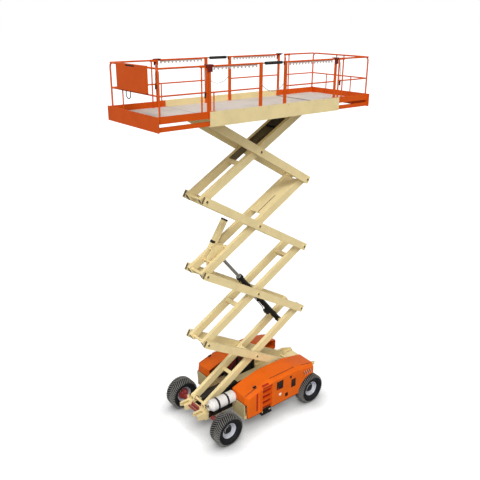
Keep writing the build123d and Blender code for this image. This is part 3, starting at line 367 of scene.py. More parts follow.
class Shape:
    """Solids gathered into one mesh, which becomes one piece on one body."""

    def __init__(self):
        self.mesh = bmesh.new()

    def box(self, x, y, z, turn=None):
        """A box from its two values on each axis. A turn is a matrix about the box's middle."""
        middle = Vector(((x[0] + x[1]) / 2, (y[0] + y[1]) / 2, (z[0] + z[1]) / 2))
        size = (abs(x[1] - x[0]), abs(y[1] - y[0]), abs(z[1] - z[0]), 1)
        place = Matrix.Translation(middle) @ (turn or Matrix.Identity(4)) @ Matrix.Diagonal(size)
        bmesh.ops.create_cube(self.mesh, size=1, matrix=place)
        return self

    def bar(self, start, end, radius, end_radius=None, sides=20):
        start, end = Vector(start), Vector(end)
        run = end - start
        place = Matrix.Translation((start + end) / 2) @ run.to_track_quat("Z", "Y").to_matrix().to_4x4()
        bmesh.ops.create_cone(self.mesh, cap_ends=True, segments=sides, radius1=radius,
                              radius2=radius if end_radius is None else end_radius, depth=run.length, matrix=place)
        return self

    def lathe(self, section, place, sides=48, closed=True):
        """A section of (radius, along) turned about the local Z axis of a place."""
        rings = []
        for radius, along in section:
            if radius < 1e-6:
                rings.append([self.mesh.verts.new(place @ Vector((0, 0, along)))] * sides)
            else:
                rings.append([self.mesh.verts.new(place @ Vector((radius * cos(2 * pi * i / sides),
                                                                   radius * sin(2 * pi * i / sides), along)))
                              for i in range(sides)])
        pairs = list(zip(rings, rings[1:])) + ([(rings[-1], rings[0])] if closed else [])
        for first, second in pairs:
            for i in range(sides):
                corners = [first[i], first[(i + 1) % sides], second[(i + 1) % sides], second[i]]
                unique = list(dict.fromkeys(corners))
                if len(unique) > 2:
                    self.mesh.faces.new(unique)
        return self

    def plate(self, outline, y):
        """A plate across Y from its outline of (x, z) points."""
        near = [self.mesh.verts.new((px, y[0], pz)) for px, pz in outline]
        far = [self.mesh.verts.new((px, y[1], pz)) for px, pz in outline]
        self.mesh.faces.new(near)
        self.mesh.faces.new(list(reversed(far)))
        for i in range(len(outline)):
            j = (i + 1) % len(outline)
            self.mesh.faces.new([near[i], near[j], far[j], far[i]])
        return self

    def pipe(self, points, radius, sides=8, smooth=True):
        """A round pipe or hose along control points."""
        self.add(pipe_mesh(points, radius, sides, smooth))
        return self

    def add(self, mesh, place=None):
        if place is not None:
            mesh.transform(place)
        self.mesh.from_mesh(mesh)
        bpy.data.meshes.remove(mesh)
        return self

    def plain(self, name="part"):
        """The plain mesh of what is gathered, with its normals outwards."""
        bmesh.ops.recalc_face_normals(self.mesh, faces=self.mesh.faces)
        mesh = bpy.data.meshes.new(name)
        self.mesh.to_mesh(mesh)
        self.mesh.free()
        return mesh

    def piece(self, name, body, look, bevel=0.0, smooth=32, hides=()):
        """The finished piece: smooth but for its sharp edges, with its finish, on its body."""
        return make_piece(name, self.plain(name), body, look, bevel, smooth, hides)


def pipe_curve(name, points, radius, rounds, smooth=True, steps=6):
    """The curve of a round pipe along control points. Rounds and steps say how finely it is divided."""
    data = bpy.data.curves.new(name, "CURVE")
    data.dimensions = "3D"
    data.bevel_depth = radius
    data.bevel_resolution = rounds
    data.use_fill_caps = True
    line = data.splines.new("NURBS" if smooth else "POLY")
    line.points.add(len(points) - 1)
    for point, place in zip(line.points, points):
        point.co = (*place, 1)
    if smooth:
        line.order_u = 3
        line.use_endpoint_u = True
        line.resolution_u = steps
    return data


def pipe_mesh(points, radius, sides=8, smooth=True):
    data = pipe_curve("run", points, radius, max(0, sides // 2 - 2), smooth)
    holder = bpy.data.objects.new("run", data)
    mesh = bpy.data.meshes.new_from_object(holder)
    bpy.data.objects.remove(holder)
    bpy.data.curves.remove(data)
    return mesh


def mark_smooth(mesh, angle):
    """Smooth faces, with the edges past an angle kept sharp."""
    work = bmesh.new()
    work.from_mesh(mesh)
    for face in work.faces:
        face.smooth = True
    for edge in work.edges:
        edge.smooth = len(edge.link_faces) == 2 and edge.calc_face_angle(0) < radians(angle)
    work.to_mesh(mesh)
    work.free()


BEVEL_STEPS = 2
BEVEL_ANGLE = radians(40)


def make_piece(name, mesh, body, look, bevel=0.0, smooth=32, hides=()):
    """A plain mesh as a piece on a body, with its finish and the nodes that it stands for."""
    mark_smooth(mesh, smooth)
    piece = bpy.data.objects.new(name, mesh)
    bpy.context.scene.collection.objects.link(piece)
    if not mesh.materials:
        mesh.materials.append(finish(look))
    if bevel:
        edges = piece.modifiers.new("edges", "BEVEL")
        edges.width = bevel
        edges.segments = BEVEL_STEPS
        edges.limit_method = "ANGLE"
        edges.angle_limit = BEVEL_ANGLE
        edges.use_clamp_overlap = True
    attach(piece, body)
    if hides:
        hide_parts(*hides)
    return piece


# ---------------------------------------------------------------- geometry node trees
def copies_tree(name, inputs):
    """A tree that is given points or edges, an item to copy, its own inputs and a material."""
    return new_tree(name, "GeometryNodeTree", [("Geometry", GEOMETRY, None), ("Item", OBJECT, None), *inputs,
                                               ("Material", MATERIAL, None)], [("Geometry", GEOMETRY)])


def close_tree(tree, given, end, points, turn, size=(1, 1, 1)):
    """Put a copy of the item on each point, realize the copies and set their material."""
    item = add(tree, "GeometryNodeObjectInfo", -600, -200, {"Object": given["Item"]}, transform_space="ORIGINAL")
    copies = add(tree, "GeometryNodeInstanceOnPoints", 100, 0, {
        "Points": points, "Instance": item.outputs["Geometry"], "Rotation": turn, "Scale": size})
    real = add(tree, "GeometryNodeRealizeInstances", 400, 0, {"Geometry": copies.outputs["Instances"]})
    paint = add(tree, "GeometryNodeSetMaterial", 700, 0, {"Geometry": real.outputs["Geometry"],
                                                          "Material": given["Material"]})
    fill(tree, end, {"Geometry": paint.outputs["Geometry"]})
    return tree


def turn_of(tree, euler, x, y):
    """The rotation of three euler angles."""
    return add(tree, "FunctionNodeEulerToRotation", x, y, {0: euler}).outputs[0]


def ring_tree():
    """Copies of an item turned round an axle that lies along Y."""
    tree, given, end = copies_tree("lift_ring", [("Count", INT, 12), ("Start", FLOAT, 0.0), ("Centre", VECTOR, None)])
    points = add(tree, "GeometryNodePoints", -600, 200, {"Count": given["Count"], "Position": given["Centre"]})
    index = add(tree, "GeometryNodeInputIndex", -800, -400).outputs[0]
    share = math_node(tree, "DIVIDE", -600, -400, index, given["Count"])
    angle = math_node(tree, "MULTIPLY_ADD", -450, -400, share, 2 * pi, given["Start"])
    euler = add(tree, "ShaderNodeCombineXYZ", -300, -400, {"Y": angle}).outputs[0]
    return close_tree(tree, given, end, points.outputs[0], turn_of(tree, euler, -150, -400))


def spots_tree():
    """A copy of an item at each point of the mesh, turned as the point's own attribute says."""
    tree, given, end = copies_tree("lift_spots", [("Size", FLOAT, 1.0)])
    named = add(tree, "GeometryNodeInputNamedAttribute", -600, -400, {"Name": "turn"}, data_type="FLOAT_VECTOR")
    turn = turn_of(tree, named.outputs["Attribute"], -300, -400)
    return close_tree(tree, given, end, given["Geometry"], turn, given["Size"])


def run_tree():
    """Copies of an item along the edges of the mesh, a pitch apart, each rolled on from the last."""
    tree, given, end = copies_tree("lift_run", [("Pitch", FLOAT, 0.1), ("Roll", FLOAT, 0.0)])
    line = add(tree, "GeometryNodeMeshToCurve", -700, 200, {"Mesh": given["Geometry"]}).outputs["Curve"]
    even = add(tree, "GeometryNodeResampleCurve", -500, 200, {"Curve": line, "Length": given["Pitch"]}, mode="LENGTH")
    tangent = add(tree, "GeometryNodeInputTangent", -700, -300).outputs[0]
    align = add(tree, "FunctionNodeAlignRotationToVector", -500, -300, {"Vector": tangent}, axis="X").outputs[0]
    index = add(tree, "GeometryNodeInputIndex", -900, -500).outputs[0]
    roll = math_node(tree, "MULTIPLY", -700, -500, index, given["Roll"])
    euler = add(tree, "ShaderNodeCombineXYZ", -550, -500, {"X": roll}).outputs[0]
    turn = add(tree, "FunctionNodeRotateRotation", -200, -400, {
        "Rotation": align, "Rotate By": turn_of(tree, euler, -400, -500)}, rotation_space="LOCAL").outputs[0]
    return close_tree(tree, given, end, even.outputs["Curve"], turn)


TREES = {}


def grow(kind, base, item, look, **values):
    """The plain mesh that a tree makes from copies of an item, on a base mesh of points or edges."""
    if kind not in TREES:
        TREES[kind] = {"ring": ring_tree, "spots": spots_tree, "run": run_tree}[kind]()
    tree = TREES[kind]
    scene = bpy.context.scene.collection.objects
    holder, copied = bpy.data.objects.new("holder", base), bpy.data.objects.new("item", item)
    scene.link(holder)
    scene.link(copied)
    modifier = holder.modifiers.new("copies", "NODES")
    modifier.node_group = tree
    values.update(Item=copied, Material=finish(look))
    for socket in tree.interface.items_tree:
        if socket.in_out == "INPUT" and socket.name in values:
            modifier[socket.identifier] = values[socket.name]
    depsgraph = bpy.context.evaluated_depsgraph_get()
    plain = bpy.data.meshes.new_from_object(holder.evaluated_get(depsgraph), depsgraph=depsgraph)
    holder.modifiers.remove(modifier)
    for used in (holder, copied):
        bpy.data.objects.remove(used)
    for used in (base, item):
        bpy.data.meshes.remove(used)
    return plain


def points_mesh(spots):
    """A mesh of points. Each spot is a place and the way that it faces."""
    mesh = bpy.data.meshes.new("spots")
    mesh.from_pydata([place for place, _ in spots], [], [])
    turns = mesh.attributes.new("turn", "FLOAT_VECTOR", "POINT")
    for entry, (_, turn) in zip(turns.data, spots):
        entry.vector = FACING[turn] if isinstance(turn, str) else turn
    return mesh


def ring(item, look, count, start, centre):
    """Copies of an item round an axle through a centre."""
    return grow("ring", points_mesh([((0, 0, 0), "+Z")]), item, look, Count=count, Start=start, Centre=tuple(centre))


def line_mesh(points):
    mesh = bpy.data.meshes.new("line")
    mesh.from_pydata(points, [(i, i + 1) for i in range(len(points) - 1)], [])
    return mesh


def bolt(radius=0.012, head=0.009, washer=0.019):
    """A hexagon bolt head on its washer, facing +Z."""
    shape = Shape()
    shape.bar((0, 0, -0.002), (0, 0, 0.003), washer, sides=16)
    shape.bar((0, 0, 0.002), (0, 0, 0.003 + head), radius, radius * 0.92, sides=6)
    return shape.plain("bolt")


def bolts(name, body, spots, look="steel", size=1.0, item=None):
    mesh = grow("spots", points_mesh(spots), item or bolt(), look, Size=size)
    return make_piece(name, mesh, body, look)


# ---------------------------------------------------------------- the machine's own measures
ARM_LENGTH, ARM_SLOPE = 3.735, radians(30)
BASE_X, BASE_Z = 1.569, 0.751
LEVELS = 4
LEVEL_RISE = ARM_LENGTH * sin(ARM_SLOPE)
REAR_X = BASE_X - ARM_LENGTH * cos(ARM_SLOPE)
MIDDLE_X = (BASE_X + REAR_X) / 2
CAP_FACE_Y = 0.4355            # outer faces of the pin caps
BRACE_HALF_Y = 0.195
END_REACH, END_HALF = 0.0712, 0.082     # an arm's square end: past its pin, and half its open height
HOOD_Y = 1.12                  # outer walls of the hoods
SHOULDER = [(0.88, 1.108), (0.56, 1.213), (0.0, 1.318), (-0.9, 1.318), (-1.6, 1.178)]
SHOULDER_Y = 1.005
DECK_Z = 8.333
TOP_RAIL_Z = 9.381
MAIN_RAIL_Y, EXTENSION_RAIL_Y = 0.995, 0.945


def on_inner_arm(level, along, above):
    """A point (x, z) on an inner arm: its distance from the front pin, and above the middle line."""
    return (BASE_X - along * cos(ARM_SLOPE) + above * sin(ARM_SLOPE),
            BASE_Z + LEVEL_RISE * (level - 1) + along * sin(ARM_SLOPE) + above * cos(ARM_SLOPE))


def inner_ends(level):
    """The pins of an inner pair that end in caps, as (x, z)."""
    low = BASE_Z + LEVEL_RISE * (level - 1)
    spots = [(MIDDLE_X, low + LEVEL_RISE / 2)]
    if level > 1:
        spots.append((BASE_X, low))
    if level < LEVELS:
        spots.append((REAR_X, low + LEVEL_RISE))
    return spots


ARM_TURN = Matrix.Rotation(ARM_SLOPE, 4, "Y")


# ---------------------------------------------------------------- wheels
# Half of the tyre's section. Columns: distance from the middle, radius.
TYRE_SECTION = [(0.098, 0.2136), (0.120, 0.2132), (0.134, 0.219), (0.146, 0.231), (0.163, 0.243), (0.177, 0.262),
                (0.187, 0.286), (0.1885, 0.300), (0.1920, 0.302), (0.1922, 0.309), (0.1895, 0.312), (0.1895, 0.330),
                (0.187, 0.350), (0.181, 0.372), (0.170, 0.388), (0.150, 0.4000), (0.100, 0.4055), (0.050, 0.4075)]
TREAD_RADIUS = 0.408           # at the tyre's middle, between the bars
# One tread bar. Columns: distance from the middle, outer radius, inner radius, half width.
TREAD_BAR = [(0.004, 0.4235, 0.403, 0.0105), (0.060, 0.4232, 0.402, 0.0105), (0.115, 0.4215, 0.400, 0.0110),
             (0.152, 0.4160, 0.391, 0.0115), (0.177, 0.4010, 0.378, 0.0120), (0.1905, 0.3690, 0.358, 0.0120)]


def tread_bar(side, sweep):
    """One bar of the tread on one side of the middle, leaning round the tyre by a sweep in radians."""
    shape = Shape()
    rings = []
    for across, outer, inner, half in TREAD_BAR:
        lean = sweep * across / TREAD_BAR[-1][0]
        rings.append([shape.mesh.verts.new((radius * sin(lean + turn), side * across, radius * cos(lean + turn)))
                      for radius, turn in ((inner, -half / inner), (outer, -0.8 * half / outer),
                                           (outer, 0.8 * half / outer), (inner, half / inner))])
    for first, second in zip(rings, rings[1:]):
        for i in range(4):
            shape.mesh.faces.new([first[i], first[(i + 1) % 4], second[(i + 1) % 4], second[i]])
    shape.mesh.faces.new(rings[0])
    shape.mesh.faces.new(list(reversed(rings[-1])))
    return shape.plain("bar")


def wheels():
    """Each wheel's name, its side and the middle of its tyre."""
    for end in ("front", "rear"):
        for side_name, side in SIDES:
            name = f"{end}_{side_name}"
            low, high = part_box(f"tyre_{name}")
            yield name, side, (low + high) / 2


class LIFT_OT_tyres(bpy.types.Operator):
    """Make the tyres with their tread bars"""
    bl_idname = "lift.tyres"
    bl_label = "Tyres"

    def execute(self, context):
        settings = sizes()
        half = [(radius, across) for across, radius in TYRE_SECTION]
        section = half + [(TREAD_RADIUS, 0.0)] + [(radius, -across) for radius, across in reversed(half)]
        for wheel, _, centre in wheels():
            body = f"wheel_{wheel}"
            wall = Shape().lathe(section, outwards(*centre, 1), sides=96)
            make_piece(f"tyre_wall_{wheel}", wall.plain("tyre"), body, "tyre", smooth=45, hides=[f"tyre_{wheel}"])
            bars = Shape()
            for row, start in ((1, 0.0), (-1, pi / settings.tread_bars)):
                bars.add(ring(tread_bar(row, settings.tread_sweep), "tread", settings.tread_bars, start, centre))
            make_piece(f"tread_bars_{wheel}", bars.plain("bars"), body, "tread", smooth=25)
        return {"FINISHED"}


# Sections of the rim's rolled lip, the hub's flange and its cap. Columns: radius, distance out.
RIM_LIP = [(0.1945, 0.1252), (0.2118, 0.1252), (0.2122, 0.1285), (0.2085, 0.1315), (0.2010, 0.1315), (0.1950, 0.1290)]
HUB_FLANGE = [(0.0935, 0.0405), (0.130, 0.0405), (0.130, 0.0470), (0.122, 0.0520), (0.0935, 0.0520)]
HUB_CAP = [(0, 0.0802), (0.0925, 0.0802), (0.0925, 0.0880), (0.0840, 0.0950), (0.0480, 0.0985), (0.0440, 0.1060),
           (0.0300, 0.1090), (0, 0.1090)]
WHEEL_NUTS, NUT_RING, FIRST_NUT = 10, 0.112, 0.1


class LIFT_OT_wheel_centres(bpy.types.Operator):
    """Make the rims' rolled lips, lighter than the rim as a painted highlight, the dark hub flanges, their caps and the
    wheel nuts
    """
    bl_idname = "lift.wheel_centres"
    bl_label = "Wheel centres"

    def execute(self, context):
        for wheel, side, centre in wheels():
            body, place = f"wheel_{wheel}", outwards(*centre, side)
            Shape().lathe(RIM_LIP, place, sides=72).piece(f"rim_lip_{wheel}", body, "lip_highlight", smooth=60)
            # The hub's flange and cap are black paint, and their black also paints the shade of the rim's deep centre.
            hub = Shape().lathe(HUB_FLANGE, place, sides=48).lathe(HUB_CAP, place, sides=40, closed=False)
            hub.piece(f"hub_flange_{wheel}", body, "black", smooth=35)
            nut = Shape()
            nut.bar((NUT_RING, side * 0.052, 0), (NUT_RING, side * 0.066, 0), 0.0125, 0.0115, sides=6)
            nut.bar((NUT_RING, side * 0.064, 0), (NUT_RING, side * 0.074, 0), 0.0065, sides=8)
            nuts = ring(nut.plain("nut"), "steel", WHEEL_NUTS, FIRST_NUT, centre)
            make_piece(f"wheel_nuts_{wheel}", nuts, body, "steel")
        return {"FINISHED"}


# ---------------------------------------------------------------- hoods
ROLLED_BENDS = (6, 85)         # degrees between which an edge is rolled
SHORTEST_ROLL = 0.12


def is_rolled(edge):
    """Whether an edge of the hood is one of its moulded outer edges."""
    if len(edge.link_faces) != 2 or not edge.is_convex or edge.calc_length() < SHORTEST_ROLL:
        return False
    bend = degrees(edge.calc_face_angle(0))
    middle = (edge.verts[0].co + edge.verts[1].co) / 2
    along = (edge.verts[1].co - edge.verts[0].co).normalized()
    outer = abs(middle.y) > HOOD_Y - 0.002
    roof = middle.z > 1.04 and abs(middle.y) > 0.53
    corner = (middle.x > 0.78 or middle.x < -1.5) and abs(along.y) < 0.5 and abs(middle.y) > 0.9
    low, high = ROLLED_BENDS
    return low < bend < high and (roof or corner) and (outer or abs(middle.y) < HOOD_Y - 0.02)


class LIFT_OT_hoods(bpy.types.Operator):
    """Make the engine hoods with rolled edges"""
    bl_idname = "lift.hoods"
    bl_label = "Hoods"

    def execute(self, context):
        for name, _ in SIDES:
            work = bmesh.new()
            work.from_mesh(frame["nodes"][f"hood_{name}"].data)
            bmesh.ops.remove_doubles(work, verts=work.verts, dist=1e-5)
            bmesh.ops.dissolve_limit(work, angle_limit=radians(0.6), verts=work.verts, edges=work.edges)
            rolled = [edge for edge in work.edges if is_rolled(edge)]
            bmesh.ops.bevel(work, geom=rolled, offset=sizes().hood_roll, segments=4, profile=0.5, affect="EDGES",
                            clamp_overlap=True)
            mesh = bpy.data.meshes.new("hood")
            work.to_mesh(mesh)
            work.free()
            make_piece(f"hood_shell_{name}", mesh, f"hood_{name}", "hood_orange", smooth=28, hides=[f"hood_{name}"])
        return {"FINISHED"}


def along_shoulder(start, end, out, down):
    """Points along the hood's shoulder edge between two x values, moved out along Y and down."""
    points = []
    for (x0, z0), (x1, z1) in zip(SHOULDER, SHOULDER[1:]):
        low, high = max(end, x1), min(start, x0)
        if low < high:
            for x in (high, low):
                share = (x0 - x) / (x0 - x1)
                points.append((x, SHOULDER_Y + out, z0 + (z1 - z0) * share - down))
    return list(dict.fromkeys(points))


SEAM_RUNS = ((0.86, 0.46), (0.03, -0.86), (-1.14, -1.50))     # along the shoulder, past the step recess
NOSE_SEAM = [(0.884, 0.545, 0.874), (0.884, 1.02, 0.874), (0.881, 1.068, 0.856), (0.875, 1.085, 0.80),
             (0.858, 1.086, 0.62), (0.842, 1.086, 0.475)]
# The bulges on the grab column and on the nose. Columns: radius, height.
COLUMN_KNOB = [(0.0, 0.0), (0.034, 0.004), (0.046, 0.020), (0.046, 0.040), (0.034, 0.058), (0.0, 0.066)]
NOSE_BUMP = [(0.0, -0.02), (0.050, -0.012), (0.048, 0.006), (0.030, 0.020), (0.0, 0.026)]
COLUMN_X, COLUMN_TOP = 0.445, 1.085
STEPS_Z = (0.600, 0.770, 0.940)
STEP_X = (0.002, 0.338)
# Panels behind the windows. Columns: x from and to, z from and to.
WINDOWS = ((-0.42, -0.14, 0.885, 1.185), (-0.89, -0.68, 0.75, 1.05), (-0.61, -0.46, 0.55, 0.71))
PANEL_Y = 1.1115               # the panels' outer faces
GAUGE = [(0.0, 0.0), (0.026, 0.0), (0.026, 0.005), (0.021, 0.006), (0.020, 0.002), (0.0, 0.002)]
GAUGE_SPOTS = ((-0.335, 1.10), (-0.255, 1.10), (-0.775, 0.96))
BUTTON = [(0.0, 0.0), (0.020, 0.0), (0.020, 0.006), (0.012, 0.008), (0.0, 0.008)]
LENS = [(0.0, -0.006), (0.050, -0.006), (0.050, 0.001), (0.040, 0.010), (0.016, 0.0145), (0.0, 0.015)]
LOUVRES_X = (-1.19, -1.27, -1.35, -1.43)
LOUVRE_LEAN = radians(18)
BOLT_Y = 1.1205
LOW_BOLTS, HIGH_BOLTS = (0.62, 0.74, -0.10, -0.28, -0.62, -0.86), (-0.03, -0.96, -1.10)


class LIFT_OT_hood_fittings(bpy.types.Operator):
    """Make the hoods' seams, grab columns, steps, latches, window panels, lamps and louvre fins"""
    bl_idname = "lift.hood_fittings"
    bl_label = "Hood fittings"

    def execute(self, context):
        for name, side in SIDES:
            self.seams(name, f"hood_{name}", side)
            self.steps(name, f"hood_{name}", side)
            self.panels(name, f"hood_{name}", side)
            self.louvres(name, f"hood_{name}", side)
            self.latches(name, f"hood_{name}", side)
        return {"FINISHED"}

    def seams(self, name, body, side):
        def flip(points):
            return [(px, side * py, pz) for px, py, pz in points]

        seam, bead = Shape(), Shape()
        # Dark lines in the shade finish are painted shade in the seams along the shoulder and round the nose, and along
        # the hood's lower edge.
        for start, end in SEAM_RUNS:
            seam.pipe(flip(along_shoulder(start, end, 0.006, 0.004)), 0.0075, smooth=False)
        seam.pipe(flip(NOSE_SEAM), 0.009)
        seam.box((-0.97, -0.02), (side * 1.116, side * 1.122), (0.462, 0.476))
        seam.box((0.36, 0.82), (side * 1.116, side * 1.122), (0.462, 0.474))
        seam.piece(f"hood_seams_{name}", body, "shade")
        for start, end in SEAM_RUNS[:2]:
            bead.pipe(flip(along_shoulder(start, end, 0.026, 0.018)), 0.011, smooth=False)
        bead.bar((COLUMN_X, side * 1.116, 0.50), (COLUMN_X, side * 1.116, COLUMN_TOP), 0.030, sides=24)
        bead.lathe(COLUMN_KNOB, Matrix.Translation((COLUMN_X, side * 1.088, COLUMN_TOP)), sides=28, closed=False)
        bead.lathe(NOSE_BUMP, outwards(0.77, side * 1.092, 0.985, side), sides=28, closed=False)
        bead.piece(f"hood_beads_{name}", body, "hood_orange", smooth=50)

    def steps(self, name, body, side):
        dark, steps = Shape(), Shape()
        # Dark red sheets are painted shade: in the step recess, in the slot by the grab column and on the hood just
        # above the recess.
        dark.box((0.508, 0.560), (side * 1.1185, side * 1.1225), (0.58, 1.110))
        dark.box((0.003, 0.337), (side * 1.1190, side * 1.1215), (1.149, 1.196))
        dark.box((0.003, 0.337), (side * 1.058, side * 1.114), (1.2355, 1.2385),
                 Matrix.Rotation(radians(side * -36.0), 4, "X"))
        dark.box((0.001, 0.339), (side * 1.0255, side * 1.027), (0.475, 1.149))
        dark.piece(f"hood_recess_{name}", body, "recess_shade_red")
        for low in STEPS_Z:
            steps.box(STEP_X, (side * 1.028, side * 1.109), (low - 0.003, low + 0.037))
        steps.box(STEP_X, (side * 1.028, side * 1.121), (1.112, 1.149))
        steps.piece(f"hood_steps_{name}", body, "rail_orange", bevel=0.006)

    def panels(self, name, body, side):
        windows, gauge = Shape(), Shape()
        for x0, x1, z0, z1 in WINDOWS:
            windows.box((x0, x1), (side * 1.085, side * PANEL_Y), (z0, z1))
        windows.piece(f"window_panels_{name}", body, "window")
        for x, z in GAUGE_SPOTS:
            gauge.lathe(GAUGE, outwards(x, side * 1.1116, z, side), sides=24, closed=False)
        for index in range(3):
            x = -0.35 + 0.07 * index
            gauge.bar((x, side * 1.111, 1.01), (x, side * 1.1185, 1.01), 0.011, sides=12)
        gauge.piece(f"panel_gauges_{name}", body, "engine")
        button = Shape().lathe(BUTTON, outwards(-0.215, side * PANEL_Y, 0.945, side), sides=24, closed=False)
        button.piece(f"stop_button_{name}", body, "button", smooth=50)
        lens = Shape().lathe(LENS, outwards(-0.29, side * 1.1283, 0.745, side), sides=32, closed=False)
        lens.piece(f"side_lamp_lens_{name}", body, "lens", smooth=60)

    def louvres(self, name, body, side):
        # The pale fins are a painted highlight, and the dark backs between them are painted shade.
        fin = Shape().box((-0.005, 0.005), (-0.014, 0.006), (-0.072, 0.072)).plain("fin")
        spots = [((x - 0.019, side * 1.1195, 1.035), (0, LOUVRE_LEAN, 0)) for x in LOUVRES_X]
        fins = grow("spots", points_mesh(spots), fin, "lens", Size=1.0)
        make_piece(f"louvre_fins_{name}", fins, body, "lens")
        back = Shape()
        for x in LOUVRES_X:
            back.box((x - 0.022, x + 0.022), (side * 1.100, side * 1.1115), (0.955, 1.115),
                     Matrix.Rotation(LOUVRE_LEAN, 4, "Y"))
        back.piece(f"louvre_backs_{name}", body, "shade")

    def latches(self, name, body, side):
        latch = Shape()
        latch.box((0.470, 0.566), (side * 0.962, side * 0.998), (1.222, 1.262), Matrix.Rotation(radians(10), 4, "Y"))
        latch.bar((0.518, side * 1.000, 1.235), (0.518, side * 1.030, 1.215), 0.014)
        latch.box((-0.70, -0.64), (side * 1.118, side * 1.126), (1.09, 1.17))
        latch.piece(f"hood_latches_{name}", body, "black", bevel=0.004)
        spots = [((x, side * BOLT_Y, 0.50), facing(side)) for x in LOW_BOLTS]
        spots += [((x, side * BOLT_Y, 1.075), facing(side)) for x in HIGH_BOLTS]
        bolts(f"hood_bolts_{name}", body, spots, "hood_orange", 0.9)


# ---------------------------------------------------------------- scissor stack
PIN_END = [(0.0, 0.0), (0.031, 0.0), (0.031, 0.003), (0.027, 0.006), (0.0, 0.006)]
PIN_COLLAR = [(0.0622, -0.010), (0.0665, -0.010), (0.0665, 0.010), (0.0622, 0.010)]
COLLAR_Y = 0.308               # between the inner and the outer arms
FOOT_FLANGE = [(0.037, 0.0), (0.082, 0.0), (0.082, 0.007), (0.078, 0.010), (0.037, 0.010)]
FOOT_FACES = ((0.3157, 1), (0.1743, -1))       # each foot's two faces and the way that they look
FOOT_BOLTS, FOOT_BOLT_RING = 8, 0.062


class LIFT_OT_pins(bpy.types.Operator):
    """Make the pins' ends and collars, the stack's foot flanges and their bolts"""
    bl_idname = "lift.pins"
    bl_label = "Pins"

    def execute(self, context):
        for level in range(1, LEVELS + 1):
            pins, spots = Shape(), []
            for x, z in inner_ends(level):
                for side in (1, -1):
                    pins.lathe(PIN_END, outwards(x, side * CAP_FACE_Y, z, side), sides=28, closed=False)
                    spots.append(((x, side * (CAP_FACE_Y + 0.006), z), facing(side)))
                    pins.lathe(PIN_COLLAR, outwards(x, side * COLLAR_Y, z, side), sides=36)
            pins.piece(f"pin_ends_{level}", f"inner_{level}", "grease_and_shade", smooth=40)
            bolts(f"pin_bolts_{level}", f"inner_{level}", spots, "grease_and_shade", 0.9)
        feet, spots = Shape(), []
        for side in (1, -1):
            for face, way in FOOT_FACES:
                feet.lathe(FOOT_FLANGE, outwards(BASE_X, side * face, BASE_Z, side * way), sides=36)
                spots += [((BASE_X + FOOT_BOLT_RING * cos(angle), side * (face + way * 0.010),
                            BASE_Z + FOOT_BOLT_RING * sin(angle)), facing(side * way))
                          for angle in (i * pi / 4 for i in range(FOOT_BOLTS))]
        feet.piece("foot_flanges", "chassis", "arm_paint", smooth=40)
        bolts("foot_bolts", "chassis", spots, "black", 0.75)
        return {"FINISHED"}


# Weld seams along the arms' cross pieces. Columns: level, distance from the front pin, height above
# the middle line, half length along the arm, half height.
CROSS_PIECES = [(1, 1.09, -0.060, 0.050, 0.020), (1, 1.80, 0.070, 0.060, 0.020), (2, 1.28, 0.070, 0.060, 0.020),
                (2, 3.25, 0.0, 0.050, 0.060), (3, 2.88, 0.074, 0.700, 0.012), (3, 3.25, 0.0, 0.050, 0.060),
                (4, 1.28, 0.070, 0.060, 0.020), (4, 3.25, 0.0, 0.050, 0.060)]


def end_shade_plate(shape, pin, rise, way, rows):
    """The dark open end of an arm's box tube, painted shade of its hollow: thin plates just outside the square end."""
    turn = Matrix.Rotation(-rise if way > 0 else rise, 4, "Y")
    x, z = pin[0] + way * END_REACH * cos(rise), pin[1] + END_REACH * sin(rise)
    for low, high in rows:
        shape.box((x - 0.001, x + 0.001), (low, high), (z - END_HALF, z + END_HALF), turn)


class LIFT_OT_arm_ends(bpy.types.Operator):
    """Make the painted shade in the arms' open tube ends"""
    bl_idname = "lift.arm_ends"
    bl_label = "Arm ends"

    def execute(self, context):
        for level in range(1, LEVELS + 1):
            low, high = BASE_Z + LEVEL_RISE * (level - 1), BASE_Z + LEVEL_RISE * level
            inner, outer = Shape(), Shape()
            for s in (1, -1):
                inner_row, outer_row = [span(s * 0.211, s * 0.279)], [span(s * 0.337, s * 0.405)]
                end_shade_plate(outer, (BASE_X, high), ARM_SLOPE, 1, outer_row)
                end_shade_plate(outer, (REAR_X, low), -ARM_SLOPE, -1, outer_row)
                end_shade_plate(inner, (BASE_X, low), -ARM_SLOPE, 1, inner_row)
                end_shade_plate(inner, (REAR_X, high), ARM_SLOPE, -1, inner_row)
            inner.piece(f"inner_arm_ends_{level}", f"inner_{level}", "grease_and_shade")
            outer.piece(f"outer_arm_ends_{level}", f"outer_{level}", "grease_and_shade")
        return {"FINISHED"}


WELD_Y = BRACE_HALF_Y - 0.002
WELD_PITCH = 0.009
LEVER_AT, LEVER_RISE = 0.4, radians(30 + 27.6)     # the lever's pin along the arm, and its slope at rest
HOSE_LANES = (-0.15, -0.10, -0.04, 0.02)


def arm_box(shape, level, along, above, half_along, across, half_above):
    """A box that lies along an inner arm, round a point on it."""
    x, z = on_inner_arm(level, along, above)
    return shape.box((x - half_along, x + half_along), across, (z - half_above, z + half_above), ARM_TURN)


